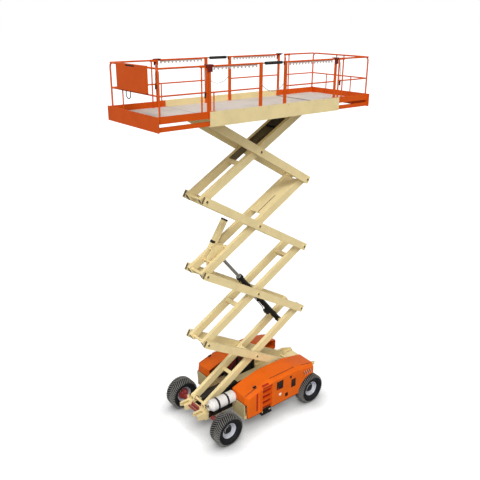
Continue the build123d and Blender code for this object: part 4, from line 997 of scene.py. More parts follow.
class LIFT_OT_arm_fittings(bpy.types.Operator):
    """Make the weld seams, the painted shade strip beside the level-three plate, the lever's pad and the junction box's
    fittings
    """
    bl_idname = "lift.arm_fittings"
    bl_label = "Arm fittings"

    def execute(self, context):
        for level in range(1, LEVELS + 1):
            self.welds(level)
        # A dark strip of painted shade in the slit beside the level-three plate.
        arm_box(Shape(), 3, 2.53, 0.0875, 0.33, (0.060, 0.078), 0.0012).piece("plate_seam", "inner_3", "shade")
        self.lever()
        self.junction()
        return {"FINISHED"}

    def welds(self, level):
        welds = Shape()
        rows = [row[1:] for row in CROSS_PIECES if row[0] == level]
        for along, above, half_along, half_high in rows:
            for side in (1, -1):
                for edge in (1, -1):
                    ends = [on_inner_arm(level, along + way * half_along, above + edge * half_high) for way in (1, -1)]
                    ripple = Shape().bar((-0.006, 0, 0), (0.006, 0, 0), 0.0065, 0.0050, sides=8).plain("ripple")
                    line = line_mesh([(x, side * WELD_Y, z) for x, z in ends])
                    welds.add(grow("run", line, ripple, "arm_paint", Pitch=WELD_PITCH, Roll=0.0))
        welds.piece(f"weld_seams_{level}", f"inner_{level}", "arm_paint", smooth=50)

    def lever(self):
        """The rubber pads at the lever's free end and middle, and the bolts of its pin."""
        low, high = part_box("lift_lever")
        x, z = on_inner_arm(3, LEVER_AT, 0)
        way = Vector((-cos(LEVER_RISE), 0, sin(LEVER_RISE)))
        turn = Matrix.Rotation(LEVER_RISE, 4, "Y")
        middle_y, half = (low.y + high.y) / 2, (high.y - low.y) / 2
        pivot = Vector((x, middle_y, z))
        tip = pivot + way * 1.078
        spot = pivot + way * 0.46 + Vector((-way.z, 0, way.x)) * -0.045
        pad = Shape()
        pad.box((tip.x - 0.024, tip.x + 0.024), (middle_y - half - 0.003, middle_y + half + 0.003),
                (tip.z - 0.059, tip.z + 0.059), turn)
        pad.box((spot.x - 0.036, spot.x + 0.036), (low.y - 0.006, high.y + 0.006),
                (spot.z - 0.028, spot.z + 0.028), turn)
        pad.piece("lever_pad", "lift_lever", "foam", bevel=0.006)
        caps = [((x, high.y + 0.001, z), "+Y"), ((x, low.y - 0.001, z), "-Y")]
        bolts("lever_pin_bolts", "lift_lever", caps, "black", 1.0, bolt(0.026, 0.010, 0.034))

    def junction(self):
        """The junction box's cover, its hoses, and dark brown plates of painted shade under the deck: a tray under the
        hoses and a skin on the far inner arm's inner face.
        """
        box = arm_box(Shape(), 4, 2.88, 0.036, 0.160, (-0.170, 0.170), 0.068)
        box.piece("junction_cover", "inner_4", "engine", bevel=0.008)
        hoses, tray = Shape(), Shape()
        for index, across in enumerate(HOSE_LANES):
            # Columns: distance along the arm, height above its middle line, share of the lane's distance.
            route = ((2.72, 0.03, 1), (2.62, 0.03, 0.9), (2.48, 0.055 - 0.01 * index, 0.9), (2.30, 0.060, 0.75),
                     (2.12, 0.050, 0.75), (1.98, 0.062, 0.75))
            places = [(on_inner_arm(4, along, above), share) for along, above, share in route]
            hoses.pipe([(x, across * share, z) for (x, z), share in places], 0.012)
        # Painted shade where the deck shades the level-four arms: the tray and the skin on the far arm's inner face.
        arm_box(tray, 4, 2.36, -0.050, 0.43, (-0.1945, 0.060), 0.004)
        arm_box(tray, 4, 2.20, 0.0, 0.90, (-0.1946, -0.1925), 0.094)
        tray.piece("hose_tray", "inner_4", "grease_and_shade")
        arm_box(hoses, 4, 2.05, 0.045, 0.02, (-0.1949, 0.1949), 0.022)
        hoses.piece("junction_hoses", "inner_4", "grease_and_shade", smooth=50)


CYLINDER_Y = 0.035
CYLINDER_BASE, CYLINDER_EYE = (1, 3.13, 0), (3, 0.7, -0.115)      # arm level, distance along it, height above
# Rings on the barrel. Columns: distance from the base pin, radius, width.
BARREL_RINGS = ((0.25, 0.080, 0.030), (1.10, 0.076, 0.028), (1.75, 0.076, 0.028), (2.13, 0.090, 0.030),
                (2.19, 0.087, 0.036))
ROD_WIPER = [(0.0428, 2.226), (0.060, 2.226), (0.060, 2.236), (0.050, 2.242), (0.0428, 2.242)]
# The feed pipe. Columns: distance from the base pin, distance from the axis, distance to the side.
FEED_PIPE = ((0.80, 0.105, 0.02), (0.95, 0.094, 0.02), (1.95, 0.094, 0.02), (2.10, 0.096, 0.02), (2.145, 0.085, 0.01))
PIPE_CLAMPS = (1.11, 1.76)
VALVE_PORTS = (0.50, 0.62, 0.56)


class LIFT_OT_cylinder_fittings(bpy.types.Operator):
    """Make the lift cylinder's rings, wiper, feed pipe, clamps and ports"""
    bl_idname = "lift.cylinder_fittings"
    bl_label = "Cylinder fittings"

    def execute(self, context):
        (x0, z0), (x1, z1) = on_inner_arm(*CYLINDER_BASE), on_inner_arm(*CYLINDER_EYE)
        base, eye = Vector((x0, CYLINDER_Y, z0)), Vector((x1, CYLINDER_Y, z1))
        way = (eye - base).normalized()
        across, aside = Vector((way.z, 0, -way.x)), Vector((0, 1, 0))
        place = Matrix.Translation(base) @ way.to_track_quat("Z", "Y").to_matrix().to_4x4()
        rings = Shape()
        for at, out, wide in BARREL_RINGS:
            rings.lathe([(0.069, at), (out, at + 0.003), (out, at + wide - 0.003), (0.069, at + wide)], place, sides=40)
        rings.piece("barrel_rings", "lift_barrel", "black", smooth=40)
        Shape().lathe(ROD_WIPER, place, sides=32).piece("rod_wiper", "lift_barrel", "steel", smooth=40)
        pipe, ports = Shape(), Shape()
        start = base + way * 0.60 + across * 0.150 + aside * 0.02
        bends = [base + way * at + across * out + aside * over for at, out, over in FEED_PIPE]
        run = [start, start + way * 0.10] + bends
        pipe.pipe([tuple(point) for point in run], 0.010, sides=10)
        for at in PIPE_CLAMPS:
            middle = base + way * (at + 0.013) + across * 0.088 + aside * 0.02
            pipe.box((middle.x - 0.016, middle.x + 0.016), (middle.y - 0.022, middle.y + 0.022),
                     (middle.z - 0.014, middle.z + 0.014), Matrix.Rotation(atan2(-way.z, way.x), 4, "Y"))
        pipe.piece("feed_pipe", "lift_barrel", "black", smooth=50)
        for at in VALVE_PORTS:
            start = base + way * at + across * (0.152 - 0.01)
            ports.bar(start, start + across * 0.030, 0.017, sides=6)
        ports.piece("valve_ports", "lift_barrel", "brass")
        return {"FINISHED"}


# ---------------------------------------------------------------- chassis
AXLE_X, AXLE_Z = 1.475, 0.424
BEAM_Y = (0.1672, 0.1694)      # thin dark plates on the beams' inner faces, painted shade inside the frame
CROSS_PLATES = ((-1.202, -1.118), (-0.202, -0.118), (0.698, 0.782))
VALVES, VALVE_PITCH = 4, 0.085
STEERING_X, STEERING_Z = 1.615, 0.46
# Bolts on the frame. Columns: places along x, distance from the middle, height.
FRAME_BOLTS = (((1.72, 1.80, 1.88), 0.4105, 0.575), ((1.42, 1.48, 1.60, 1.66), 0.4205, 0.60),
               ((-1.62, -1.36, -1.08, -0.84), 0.5055, 0.62), ((1.66,), 0.4165, 0.725))
DIFFERENTIAL_BOLTS, DIFFERENTIAL_RING, DIFFERENTIAL_Y = 12, 0.112, 0.0755


class LIFT_OT_frame_fittings(bpy.types.Operator):
    """Make the belly plates and the dark liners of the beams, which paint the shade inside the frame, the valve bank,
    the hoses and the fittings between the beams
    """
    bl_idname = "lift.frame_fittings"
    bl_label = "Frame fittings"

    def execute(self, context):
        self.plates()
        self.valves()
        self.hoses()
        self.bolts()
        return {"FINISHED"}

    def plates(self):
        plate, nose, step = Shape(), Shape(), Shape()
        # The dark plates under the frame, on the beams and between them are painted shade in the frame's hollow.
        plate.box((-2.15, 1.61), (-0.1695, 0.1695), (0.470, 0.478))
        for side in (1, -1):
            plate.box((-0.86, 0.83), (side * 0.421, side * 0.519), (0.500, 0.508))
            plate.box((-1.10, 1.60), span(side * BEAM_Y[0], side * BEAM_Y[1]), (0.434, 0.641))
            plate.box((0.60, 1.60), span(side * 0.4205, side * 0.4245), (0.452, 0.655))
            plate.box((0.15, 1.38), span(side * BEAM_Y[0], side * 0.4245), (0.6405, 0.6425))
            # Darker cream skins on the nose plates: painted shade on faces that look forward.
            nose.box((0.8955, 0.8975), span(side * 0.548, side * 1.032), (0.458, 0.854))
            step.box((-0.003, 0.343), span(side * 0.987, side * 1.108), (0.3275, 0.3775))
            step.box((-0.03, 0.37), span(side * 0.90, side * 1.0835), (0.4355, 0.4525))
        for x in CROSS_PLATES:
            plate.box(x, (-0.167, 0.167), (0.480, 0.632))
        plate.piece("belly_plates", "chassis", "engine")
        nose.piece("nose_skins", "chassis", "shaded_cream")
        step.piece("step_skins", "chassis", "black", bevel=0.002)

    def valves(self):
        bank, steel, links = Shape(), Shape(), Shape()
        for index in range(VALVES):
            x = 0.86 + VALVE_PITCH * index
            bank.box((x, x + 0.070), (-0.10, 0.09), (0.479, 0.585))
            bank.bar((x + 0.035, 0.09, 0.545), (x + 0.035, 0.145, 0.545), 0.018, sides=12)
        bank.box((-0.95, -0.50), (-0.12, 0.12), (0.479, 0.60))
        bank.bar((-0.42, -0.11, 0.555), (-0.42, 0.11, 0.555), 0.070, sides=24)
        bank.piece("valve_bank", "chassis", "engine", bevel=0.006)
        for index in range(VALVES):
            x = 0.895 + VALVE_PITCH * index
            steel.bar((x, -0.03, 0.584), (x, -0.03, 0.618), 0.016, sides=6)
            steel.bar((x, 0.04, 0.584), (x, 0.04, 0.612), 0.013, sides=10)
        # the steering cylinder on the axle, and the parts between the horns
        steel.bar((STEERING_X, -0.20, STEERING_Z), (STEERING_X, 0.24, STEERING_Z), 0.033, sides=20)
        steel.bar((STEERING_X, -0.36, STEERING_Z), (STEERING_X, 0.40, STEERING_Z), 0.016, sides=14)
        steel.box((1.59, 1.64), (-0.03, 0.03), (0.42, 0.47))
        steel.piece("valve_unions", "chassis", "steel", bevel=0.002)
        links.bar((1.80, -0.185, 0.60), (1.80, 0.185, 0.60), 0.026, sides=20)
        links.bar((1.715, -0.12, 0.655), (1.715, 0.10, 0.655), 0.034, sides=20)
        for y in ((-0.16, -0.10), (0.08, 0.14)):
            links.box((1.700, 1.732), y, (0.60, 0.690))
        links.box((1.698, 1.745), (-0.181, 0.181), (0.585, 0.612))
        links.piece("horn_links", "chassis", "axle_red", bevel=0.003)

    def hoses(self):
        hoses = Shape()
        for index in range(VALVES):
            x, y = 0.895 + VALVE_PITCH * index, -0.03
            lane = -0.150 + 0.012 * index
            hoses.pipe([(x, y, 0.615), (x, y, 0.640), (x + 0.03, y - 0.03, 0.645),
                        (x + 0.05, -0.08 - 0.01 * index, 0.62), (x + 0.02, -0.13, 0.56), (x - 0.10, -0.145, 0.50),
                        (x - 0.30, -0.15, 0.495), (0.30, lane, 0.492), (-0.10, lane, 0.492)], 0.009)
        for side in (1, -1):
            hoses.pipe([(1.57, side * 0.10, 0.60), (1.60, side * 0.12, 0.64), (1.66, side * 0.14, 0.645),
                        (1.69, side * 0.15, 0.60), (1.66, side * 0.16, 0.52), (1.62, side * 0.19, 0.49)], 0.010)
        hoses.piece("frame_hoses", "chassis", "hose", smooth=50)

    def bolts(self):
        spots = [((x, side * y, z), facing(side)) for side in (1, -1) for places, y, z in FRAME_BOLTS for x in places]
        bolts("frame_bolts", "chassis", spots, "arm_paint", 1.0)
        for name, x in (("front", AXLE_X), ("rear", -AXLE_X)):
            spots = [((x + DIFFERENTIAL_RING * cos(i * pi / 6), side * DIFFERENTIAL_Y,
                       AXLE_Z + DIFFERENTIAL_RING * sin(i * pi / 6)), facing(side))
                     for side in (1, -1) for i in range(DIFFERENTIAL_BOLTS)]
            bolts(f"differential_bolts_{name}", "chassis", spots, "steel", 0.8)


TANK_Y, TANK_Z = 0.615, 0.970
VALVE_X = 1.752
VALVE_WHEEL = [(0.010, 0.0), (0.026, 0.002), (0.026, 0.012), (0.010, 0.014)]
TANK_SEAM = [(0.1545, -0.004), (0.1562, -0.003), (0.1562, 0.003), (0.1545, 0.004)]
TANK_STRAP = [(0.1595, -0.026), (0.1640, -0.026), (0.1640, 0.026), (0.1595, 0.026)]
SEAMS_X, STRAPS_X = (0.965, 1.628), (1.20, 1.50)
# The bottle's hose. Columns: x, and y and z from the bottle's axis.
TANK_HOSE = ((VALVE_X, -0.012, 0), (1.760, -0.06, 0), (1.765, -0.13, -0.02), (1.72, -0.178, -0.04),
             (1.60, -0.184, -0.10), (1.40, -0.182, -0.13), (1.15, -0.175, -0.16), (0.98, -0.15, -0.20),
             (0.90, -0.08, -0.21))


class LIFT_OT_tank_fittings(bpy.types.Operator):
    """Make the gas bottle's valve, seams, straps, buckles and hose"""
    bl_idname = "lift.tank_fittings"
    bl_label = "Tank fittings"

    def execute(self, context):
        y, z = TANK_Y, TANK_Z
        valve, seams, straps = Shape(), Shape(), Shape()
        valve.bar((1.735, y, z), (1.772, y, z), 0.016, sides=14)
        valve.bar((VALVE_X, y, z), (VALVE_X, y, z + 0.045), 0.010, sides=12)
        valve.lathe(VALVE_WHEEL, Matrix.Translation((VALVE_X, y, z + 0.040)), sides=20)
        valve.piece("tank_valve", "chassis", "brass", smooth=40)
        for x in SEAMS_X:
            seams.lathe(TANK_SEAM, ahead(x, y, z), sides=64)
        seams.piece("tank_seams", "chassis", "tank", smooth=60)
        for x in STRAPS_X:
            straps.lathe(TANK_STRAP, ahead(x, y, z), sides=64)
            straps.box((x - 0.020, x + 0.020), (y + 0.10, y + 0.125), (z + 0.115, z + 0.150),
                       Matrix.Rotation(radians(-40), 4, "X"))
        straps.piece("tank_straps", "chassis", "black", smooth=40)
        hose = Shape().pipe([(x, y + out, z + up) for x, out, up in TANK_HOSE], 0.009)
        hose.piece("tank_hose", "chassis", "hose", smooth=50)
        return {"FINISHED"}


# Pulleys on the engine's front. Columns: x, y, z, radius.
PULLEYS = ((0.115, -0.70, 0.64, 0.075), (0.115, -0.86, 0.70, 0.050), (0.115, -0.84, 0.58, 0.040))
INTAKE_PIPE = [(0.02, -0.56, 0.72), (0.06, -0.53, 0.76), (0.05, -0.525, 0.90), (-0.02, -0.53, 0.98),
               (-0.12, -0.54, 1.00), (-0.24, -0.55, 0.98)]
OIL_PIPE = [(-0.60, -0.53, 0.70), (-0.58, -0.525, 0.82), (-0.50, -0.53, 0.90), (-0.36, -0.54, 0.92)]
SLATS, SLAT_PITCH, SLAT_LEAN = 7, 0.036, radians(25)


class LIFT_OT_engine_fittings(bpy.types.Operator):
    """Make the engine's pulleys, filter, pipes and the shroud's grille"""
    bl_idname = "lift.engine_fittings"
    bl_label = "Engine fittings"

    def execute(self, context):
        block, pipes, slats = Shape(), Shape(), Shape()
        block.box((0.058, 0.110), (-0.93, -0.62), (0.56, 0.76))
        for x, y, z, radius in PULLEYS:
            groove = [(0.0, 0.0), (radius, 0.0), (radius * 0.86, 0.018), (radius, 0.036), (0.0, 0.036)]
            block.lathe(groove, ahead(x, y, z), sides=28, closed=False)
        block.bar((-0.55, -0.585, 0.86), (-0.20, -0.585, 0.86), 0.052, sides=24)
        block.piece("engine_drives", "chassis", "engine", bevel=0.004)
        pipes.pipe(INTAKE_PIPE, 0.020, sides=10).pipe(OIL_PIPE, 0.014)
        pipes.piece("engine_pipes", "chassis", "hose", smooth=50)
        slat = Shape().box((-0.20, 0.20), (-0.004, 0.004), (-0.010, 0.010)).plain("slat")
        spots = [((-0.36, -0.5435, 0.95 + SLAT_PITCH * i), (SLAT_LEAN, 0, 0)) for i in range(SLATS)]
        slats.add(grow("spots", points_mesh(spots), slat, "shade", Size=1.0))
        slats.piece("shroud_slats", "chassis", "shade")
        return {"FINISHED"}


# ---------------------------------------------------------------- platform
EXTENSION_TOP = DECK_Z + 0.0137
EXTENSION_HALF_Y = 0.9645
# The extensions' floors. Columns: end, x of the floor, x of the steel edge.
EXTENSIONS = (("front", (1.702, 3.124), (1.690, 1.722)), ("rear", (-3.124, -1.792), (-1.812, -1.780)))
NAME_PLATES = ((1.44, 1.70), (-0.86, -0.52))
PANEL_SCREWS = (-1.9, -1.45, -1.0, -0.3, 0.3, 1.0, 1.8)


class LIFT_OT_deck_floors(bpy.types.Operator):
    """Make the worn floors, their steel edges, the bare name plates and the side panels' screws"""
    bl_idname = "lift.deck_floors"
    bl_label = "Deck floors"

    def execute(self, context):
        middle = Shape().box((-2.002, 1.895), (-1.0175, 1.0175), (DECK_Z + 0.0002, DECK_Z + 0.0018))
        middle.piece("main_floor", "platform", "floor")
        top = EXTENSION_TOP
        for end, x, _ in EXTENSIONS:
            floor = Shape().box(x, (-EXTENSION_HALF_Y, EXTENSION_HALF_Y), (top, top + 0.0016))
            floor.piece(f"{end}_floor", f"{end}_deck", "floor")
        for end, _, x in EXTENSIONS:
            edge = Shape().box(x, (-0.970, 0.970), (top - 0.006, top + 0.0035))
            edge.piece(f"{end}_floor_edge", f"{end}_deck", "steel", bevel=0.001)
        plates, spots = Shape(), []
        for side in (1, -1):
            for x in NAME_PLATES:
                plates.box(x, (side * 1.0295, side * 1.0309), (8.235, 8.345))
            spots += [((x, side * 1.0300, 8.452), facing(side)) for x in PANEL_SCREWS]
        plates.piece("bare_plates", "platform", "bare")
        bolts("panel_screws", "platform", spots, "steel", 0.5, bolt(0.012, 0.001, 0.016))
        return {"FINISHED"}


RACK_RUNS = ((0.62, 1.78), (-1.72, -0.33))


class LIFT_OT_rail_racks(bpy.types.Operator):
    """Make the notched racks that hang under the main rails"""
    bl_idname = "lift.rail_racks"
    bl_label = "Rail racks"

    def execute(self, context):
        rack = Shape()
        for y in (MAIN_RAIL_Y, -MAIN_RAIL_Y):
            for start, end in RACK_RUNS:
                rack.box((start, end), (y - 0.005, y + 0.005), (9.338, 9.364))
                tooth = Shape().box((-0.020, 0.020), (-0.005, 0.005), (-0.019, 0.019)).plain("tooth")
                line = line_mesh([(start + 0.02, y, 9.322), (end - 0.02, y, 9.322)])
                rack.add(grow("run", line, tooth, "rack", Pitch=sizes().rack_pitch, Roll=0.0))
        rack.piece("rail_racks", "platform", "rack")
        return {"FINISHED"}


SLEEVES_X, POST_FEET_X = (1.885, -1.842), (1.778, 0.51, -0.21)
BRACKETS_X = ((1.80, 1.96), (-1.92, -1.77))
# The extensions' rails. Columns: body, x of the inner post, the way out, x of the end posts.
EXTENSION_RAILS = (("front_deck", 1.9, 1, 3.0557), ("rear_deck", -2.02, -1, -3.080))
GUIDE_PITCH = 0.145            # from an inner post to the post beside it
END_POSTS_Y = (-0.86, 0.86)


class LIFT_OT_rail_fittings(bpy.types.Operator):
    """Make the post sleeves, guide brackets, grips, latch rods and feet of the rails"""
    bl_idname = "lift.rail_fittings"
    bl_label = "Rail fittings"

    def execute(self, context):
        self.main_rails()
        for row in EXTENSION_RAILS:
            self.extension_rails(*row)
        z = TOP_RAIL_Z - 0.004
        for name, side in SIDES:
            y = side * MAIN_RAIL_Y
            pad = Shape().bar((-0.095, y, z), (0.392, y, z), 0.0335, sides=28)
            pad.piece(f"entry_pad_{name}", f"entry_bar_{name}", "foam", bevel=0.008, smooth=40)
        return {"FINISHED"}

    def main_rails(self):
        sleeves, brackets, feet = Shape(), Shape(), Shape()
        for side in (1, -1):
            y = side * MAIN_RAIL_Y
            for x in SLEEVES_X:
                sleeves.box((x - 0.0265, x + 0.0265), (y - 0.0215, y + 0.0215), (DECK_Z + 0.002, 9.395))
            for x in POST_FEET_X:
                feet.box((x - 0.045, x + 0.045), span(side * 0.9735, side * 1.0185), (DECK_Z + 0.002, DECK_Z + 0.012))
            for x0, x1 in BRACKETS_X:
                brackets.box((x0, x1), span(side * 0.9135, side * 1.024), (9.4015, 9.4145))
                brackets.box((x0, x1), span(side * 0.9725, side * 1.024), (9.366, 9.405))
                brackets.box((x0 + 0.02, x1 - 0.02), (side * 1.0165, side * 1.0235), (9.27, 9.37))
        sleeves.piece("post_sleeves", "platform", "rail_orange", bevel=0.004)
        feet.piece("post_feet", "platform", "rail_orange", bevel=0.003)
        brackets.piece("guide_brackets", "platform", "bracket_maroon", bevel=0.005)

    def extension_rails(self, body, inner_x, way, end_x):
        posts, grips = Shape(), Shape()
        floor = DECK_Z + 0.0155
        guide_x, grip_x = inner_x + way * GUIDE_PITCH, inner_x + way * 0.058
        for name, side in SIDES:
            y = side * EXTENSION_RAIL_Y
            posts.bar((guide_x, y, floor), (guide_x, y, TOP_RAIL_Z), 0.016)
            posts.box(span(inner_x - way * 0.02, guide_x + way * 0.03), (y - 0.024, y + 0.024), (9.352, 9.400))
            for x in (inner_x, guide_x):
                posts.box((x - 0.04, x + 0.04), (y - 0.032, y + 0.018), (floor - 0.001, floor + 0.009))
            grips.bar((grip_x, y, 8.755), (grip_x, y, 8.885), 0.019, sides=16)
            rod = Shape().pipe([(grip_x, y, 8.88), (grip_x, y, 8.97), (grip_x + way * 0.012, y, 9.05),
                                (inner_x + way * 0.045, y, 9.15), (inner_x + way * 0.03, y, 9.30)], 0.007)
            rod.piece(f"latch_rod_{body}_{name}", body, "steel", smooth=50)
        for y in END_POSTS_Y:
            posts.box((end_x - 0.04, end_x + 0.04), (y - 0.05, y + 0.05), (floor - 0.001, floor + 0.008))
        posts.piece(f"guide_posts_{body}", body, "rail_orange", smooth=40)
        grips.piece(f"latch_grips_{body}", body, "foam", bevel=0.004)


CHAIN_RUNS, CHAIN_SAG, LINK_PITCH = 24, 0.150, 0.030
LINK = [(-0.012, -0.007, 0), (0.012, -0.007, 0), (0.020, 0, 0), (0.012, 0.007, 0), (-0.012, 0.007, 0),
        (-0.020, 0, 0), (-0.012, -0.007, 0)]


class LIFT_OT_entry_chains(bpy.types.Operator):
    """Make the gateways' chains, link by link"""
    bl_idname = "lift.entry_chains"
    bl_label = "Entry chains"

    def execute(self, context):
        for name, side in SIDES:
            low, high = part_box(f"entry_chain_{name}")
            y, z = side * MAIN_RAIL_Y, high.z - 0.005
            shares = [2 * i / CHAIN_RUNS - 1 for i in range(CHAIN_RUNS + 1)]
            line = line_mesh([((low.x + high.x) / 2 + share * (high.x - low.x) / 2, y, z - CHAIN_SAG * (1 - share ** 2))
                              for share in shares])
            links = grow("run", line, pipe_mesh(LINK, 0.0035, 6, smooth=False), "steel", Pitch=LINK_PITCH, Roll=pi / 2)
            make_piece(f"chain_links_{name}", links, "platform", "steel", smooth=50, hides=[f"entry_chain_{name}"])
        return {"FINISHED"}


PANEL_WALL = 0.006
SLOT_Y, SLOT_Z = (-0.16, 0.20), (9.368, 9.400)         # the hand slot through the panel
KNOBS_Y = (-0.20, -0.12, -0.04, 0.10, 0.18)
# The cable that hangs in a loop under the panel. Columns: y, z.
CABLE_X = 3.106
CABLE_LOOP = ((-0.050, 8.8895), (-0.050, 8.850), (-0.046, 8.800), (-0.070, 8.745), (-0.130, 8.715), (-0.200, 8.735),
              (-0.232, 8.790), (-0.226, 8.850), (-0.222, 8.8895))


class LIFT_OT_control_fittings(bpy.types.Operator):
    """Make the control panel's shell with its hand slot, its controls and the hanging cable"""
    bl_idname = "lift.control_fittings"
    bl_label = "Control panel"

    def execute(self, context):
        low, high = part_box("control_box")
        self.shell(low, high)
        self.controls(low, high)
        self.cable()
        return {"FINISHED"}

    def shell(self, low, high):
        shell = Shape()
        face, wall = (high.x - PANEL_WALL, high.x), PANEL_WALL
        for y, z in (((low.y, high.y), (low.z, SLOT_Z[0])), ((low.y, high.y), (SLOT_Z[1], high.z)),
                     ((low.y, SLOT_Y[0]), SLOT_Z), ((SLOT_Y[1], high.y), SLOT_Z)):
            shell.box(face, y, z)
        for y in ((low.y, low.y + wall), (high.y - wall, high.y)):
            shell.box((low.x, face[0]), y, (low.z, high.z))
        for z in ((low.z, low.z + wall), (high.z - wall, high.z)):
            shell.box((low.x, face[0]), (low.y, high.y), z)
        shell.piece("control_shell", "front_deck", "deck_orange", hides=["control_box"])

    def controls(self, low, high):
        inside, knobs = Shape(), Shape()
        face_x = high.x - PANEL_WALL
        inside.box((low.x + 0.012, face_x - 0.003), (SLOT_Y[0] - 0.02, SLOT_Y[1] + 0.02),
                   (SLOT_Z[0] - 0.012, high.z - PANEL_WALL - 0.001))
        inside.box((low.x + 0.004, face_x - 0.001), (-0.28, 0.30), (9.06, 9.33))
        inside.bar((3.100, 0.0, 8.878), (3.100, 0.0, 8.899), 0.012)
        inside.piece("control_panel", "front_deck", "black", bevel=0.004)
        for index, y in enumerate(KNOBS_Y):
            z = 9.24 - 0.05 * (index % 2)
            knobs.bar((low.x + 0.004, y, z), (low.x - 0.008, y, z), 0.013)
        knobs.bar((low.x + 0.004, 0.25, 9.15), (low.x - 0.006, 0.25, 9.15), 0.010)
        knobs.piece("control_knobs", "front_deck", "steel", bevel=0.002)
        stop = Shape().bar((low.x + 0.004, -0.25, 9.12), (low.x - 0.009, -0.25, 9.12), 0.021, sides=24)
        stop.piece("control_stop", "front_deck", "button", bevel=0.003)
        stick = Shape().bar((low.x + 0.004, 0.04, 9.10), (low.x - 0.006, 0.04, 9.10), 0.030, 0.022, sides=24)
        stick.bar((low.x - 0.004, 0.04, 9.10), (low.x - 0.030, 0.04, 9.135), 0.010, 0.013)
        stick.piece("control_stick", "front_deck", "foam", bevel=0.002)

    def cable(self):
        route = [(CABLE_X, y, z) for y, z in CABLE_LOOP]
        data = pipe_curve("control_cable", route, 0.0096, 3, steps=8)
        cable = bpy.data.objects.new("control_cable", data)
        bpy.context.scene.collection.objects.link(cable)
        data.materials.append(finish("hose"))
        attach(cable, "front_deck")


# ---------------------------------------------------------------- finishes and stage
class LIFT_OT_finishes(bpy.types.Operator):
    """Give every node of the frame its finish"""
    bl_idname = "lift.finishes"
    bl_label = "Finishes"

    def execute(self, context):
        for name, node in frame["nodes"].items():
            node.data.materials.clear()
            node.data.materials.append(finish(NODE_FINISH[finish_of(name)]))
        return {"FINISHED"}


CAMERA_PLACE = (9.2473, 10.9316, 10.3589)
CAMERA_YAW, CAMERA_PITCH, CAMERA_ROLL = radians(230.506), radians(20.736), radians(0.4585)
SENSOR_WIDTH, FOCAL_LENGTH = 36.0, 44.7765
FLOOR_HALF = 400
FLOOR_GREY, FLOOR_GLOW = 0.36, 0.84
SHADE_SAMPLES, SHADE_DEPTH = 8, 2.4
WHITE = (1, 1, 1, 1)


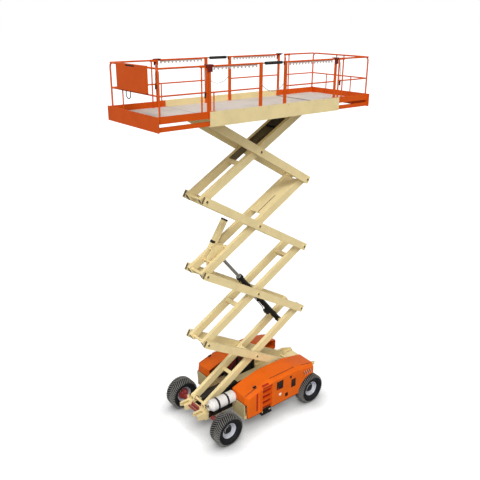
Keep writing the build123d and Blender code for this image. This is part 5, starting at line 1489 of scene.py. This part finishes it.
class LIFT_OT_stage(bpy.types.Operator):
    """Make the floor, the soft studio light and the camera"""
    bl_idname = "lift.stage"
    bl_label = "Stage"

    def execute(self, context):
        scene = context.scene
        self.camera(scene)
        self.floor(scene)
        self.world(scene)
        self.lamps(scene)
        scene.view_settings.view_transform = "Standard"
        return {"FINISHED"}

    def camera(self, scene):
        lens = bpy.data.cameras.new("view")
        lens.sensor_width, lens.lens, lens.clip_end = SENSOR_WIDTH, FOCAL_LENGTH, 500
        camera = bpy.data.objects.new("view", lens)
        scene.collection.objects.link(camera)
        yaw, pitch, roll = CAMERA_YAW, CAMERA_PITCH, CAMERA_ROLL
        ahead_way = Vector((cos(yaw) * cos(pitch), sin(yaw) * cos(pitch), -sin(pitch)))
        right = Vector((sin(yaw), -cos(yaw), 0))
        up = right.cross(ahead_way)
        right, up = cos(roll) * right + sin(roll) * up, cos(roll) * up - sin(roll) * right
        turn = Matrix((right, up, -ahead_way)).transposed().to_4x4()
        camera.matrix_world = Matrix.Translation(CAMERA_PLACE) @ turn
        scene.camera = camera

    def floor(self, scene):
        """A matt floor that the camera sees as white, with a painted shadow where the machine is near: its glow dims
        with ambient occlusion.
        """
        mesh, far = bpy.data.meshes.new("floor"), FLOOR_HALF
        mesh.from_pydata([(-far, -far, 0), (far, -far, 0), (far, far, 0), (-far, far, 0)], [], [(0, 1, 2, 3)])
        floor = bpy.data.objects.new("floor", mesh)
        scene.collection.objects.link(floor)
        made, tree = new_material("white_floor")
        matt = add(tree, "ShaderNodeBsdfDiffuse", 0, 0, {"Color": (FLOOR_GREY, FLOOR_GREY, FLOOR_GREY, 1)}).outputs[0]
        shade = add(tree, "ShaderNodeAmbientOcclusion", -500, -150, {"Distance": sizes().shade_reach},
                    samples=SHADE_SAMPLES).outputs["AO"]
        deeper = math_node(tree, "POWER", -300, -150, shade, SHADE_DEPTH)
        level = math_node(tree, "MULTIPLY", -150, -150, deeper, FLOOR_GLOW)
        glow = add(tree, "ShaderNodeEmission", 0, -150, {"Color": WHITE, "Strength": level}).outputs[0]
        both = add(tree, "ShaderNodeAddShader", 200, 0, {0: matt, 1: glow}).outputs[0]
        rays = add(tree, "ShaderNodeLightPath", 0, 300).outputs
        seen = add(tree, "ShaderNodeMixShader", 400, 0, {0: rays["Is Camera Ray"], 1: matt, 2: both}).outputs[0]
        add(tree, "ShaderNodeOutputMaterial", 600, 0, {"Surface": seen})
        mesh.materials.append(made)

    def world(self, scene):
        """Even light on the machine, and plain white to what looks straight at it."""
        world = bpy.data.worlds.new("studio")
        scene.world = world
        world.use_nodes = True
        tree = world.node_tree
        tree.nodes.clear()
        even, white = [add(tree, "ShaderNodeBackground", 0, y, {"Color": WHITE, "Strength": strength}).outputs[0]
                       for y, strength in ((0, sizes().fill_strength), (-150, 1.0))]
        rays = add(tree, "ShaderNodeLightPath", -200, 300).outputs
        looked_at = math_node(tree, "MAXIMUM", 0, 300, rays["Is Camera Ray"], rays["Is Glossy Ray"])
        looked_at = math_node(tree, "MAXIMUM", 150, 300, looked_at, rays["Is Transmission Ray"])
        mix = add(tree, "ShaderNodeMixShader", 400, 0, {0: looked_at, 1: even, 2: white}).outputs[0]
        add(tree, "ShaderNodeOutputWorld", 600, 0, {"Surface": mix})

    def lamps(self, scene):
        # Columns: name, strength, softness in degrees, the way to the light.
        for name, strength, softness, source in (("key_light", sizes().key_strength, 24, (0.42, 0.50, 0.80)),
                                                 ("top_light", sizes().top_strength, 30, (0.10, -0.10, 1.0)),
                                                 ("front_light", sizes().front_strength, 50, (0.63, 0.74, 0.25))):
            data = bpy.data.lights.new(name, "SUN")
            data.energy = strength
            data.angle = radians(softness)
            lamp = bpy.data.objects.new(name, data)
            scene.collection.objects.link(lamp)
            lamp.rotation_euler = Vector(source).to_track_quat("Z", "Y").to_euler()


class LIFT_PT_panel(bpy.types.Panel):
    bl_idname = "LIFT_PT_panel"
    bl_label = "Scissor Lift"
    bl_space_type = "VIEW_3D"
    bl_region_type = "UI"
    bl_category = "Scissor Lift"

    def draw(self, context):
        for settings in (context.scene.lift_colours, context.scene.lift_sizes):
            for name in settings.__annotations__:
                self.layout.prop(settings, name)
        for operator in OPERATORS:
            self.layout.operator(operator.bl_idname)


OPERATORS = (LIFT_OT_stage, LIFT_OT_finishes, LIFT_OT_control_fittings, LIFT_OT_tyres, LIFT_OT_wheel_centres,
             LIFT_OT_hoods, LIFT_OT_hood_fittings, LIFT_OT_pins, LIFT_OT_arm_ends, LIFT_OT_arm_fittings,
             LIFT_OT_cylinder_fittings, LIFT_OT_frame_fittings, LIFT_OT_tank_fittings, LIFT_OT_engine_fittings,
             LIFT_OT_deck_floors, LIFT_OT_rail_racks, LIFT_OT_rail_fittings, LIFT_OT_entry_chains)
CLASSES = (LiftColours, LiftSizes, *OPERATORS, LIFT_PT_panel)


def register():
    for cls in CLASSES:
        bpy.utils.register_class(cls)
    bpy.types.Scene.lift_colours = PointerProperty(type=LiftColours)
    bpy.types.Scene.lift_sizes = PointerProperty(type=LiftSizes)


def unregister():
    del bpy.types.Scene.lift_sizes
    del bpy.types.Scene.lift_colours
    for cls in reversed(CLASSES):
        bpy.utils.unregister_class(cls)


def main():
    register()
    for operator in OPERATORS:
        family, name = operator.bl_idname.split(".")
        getattr(getattr(bpy.ops, family), name)()


if __name__ == "__main__":
    main()
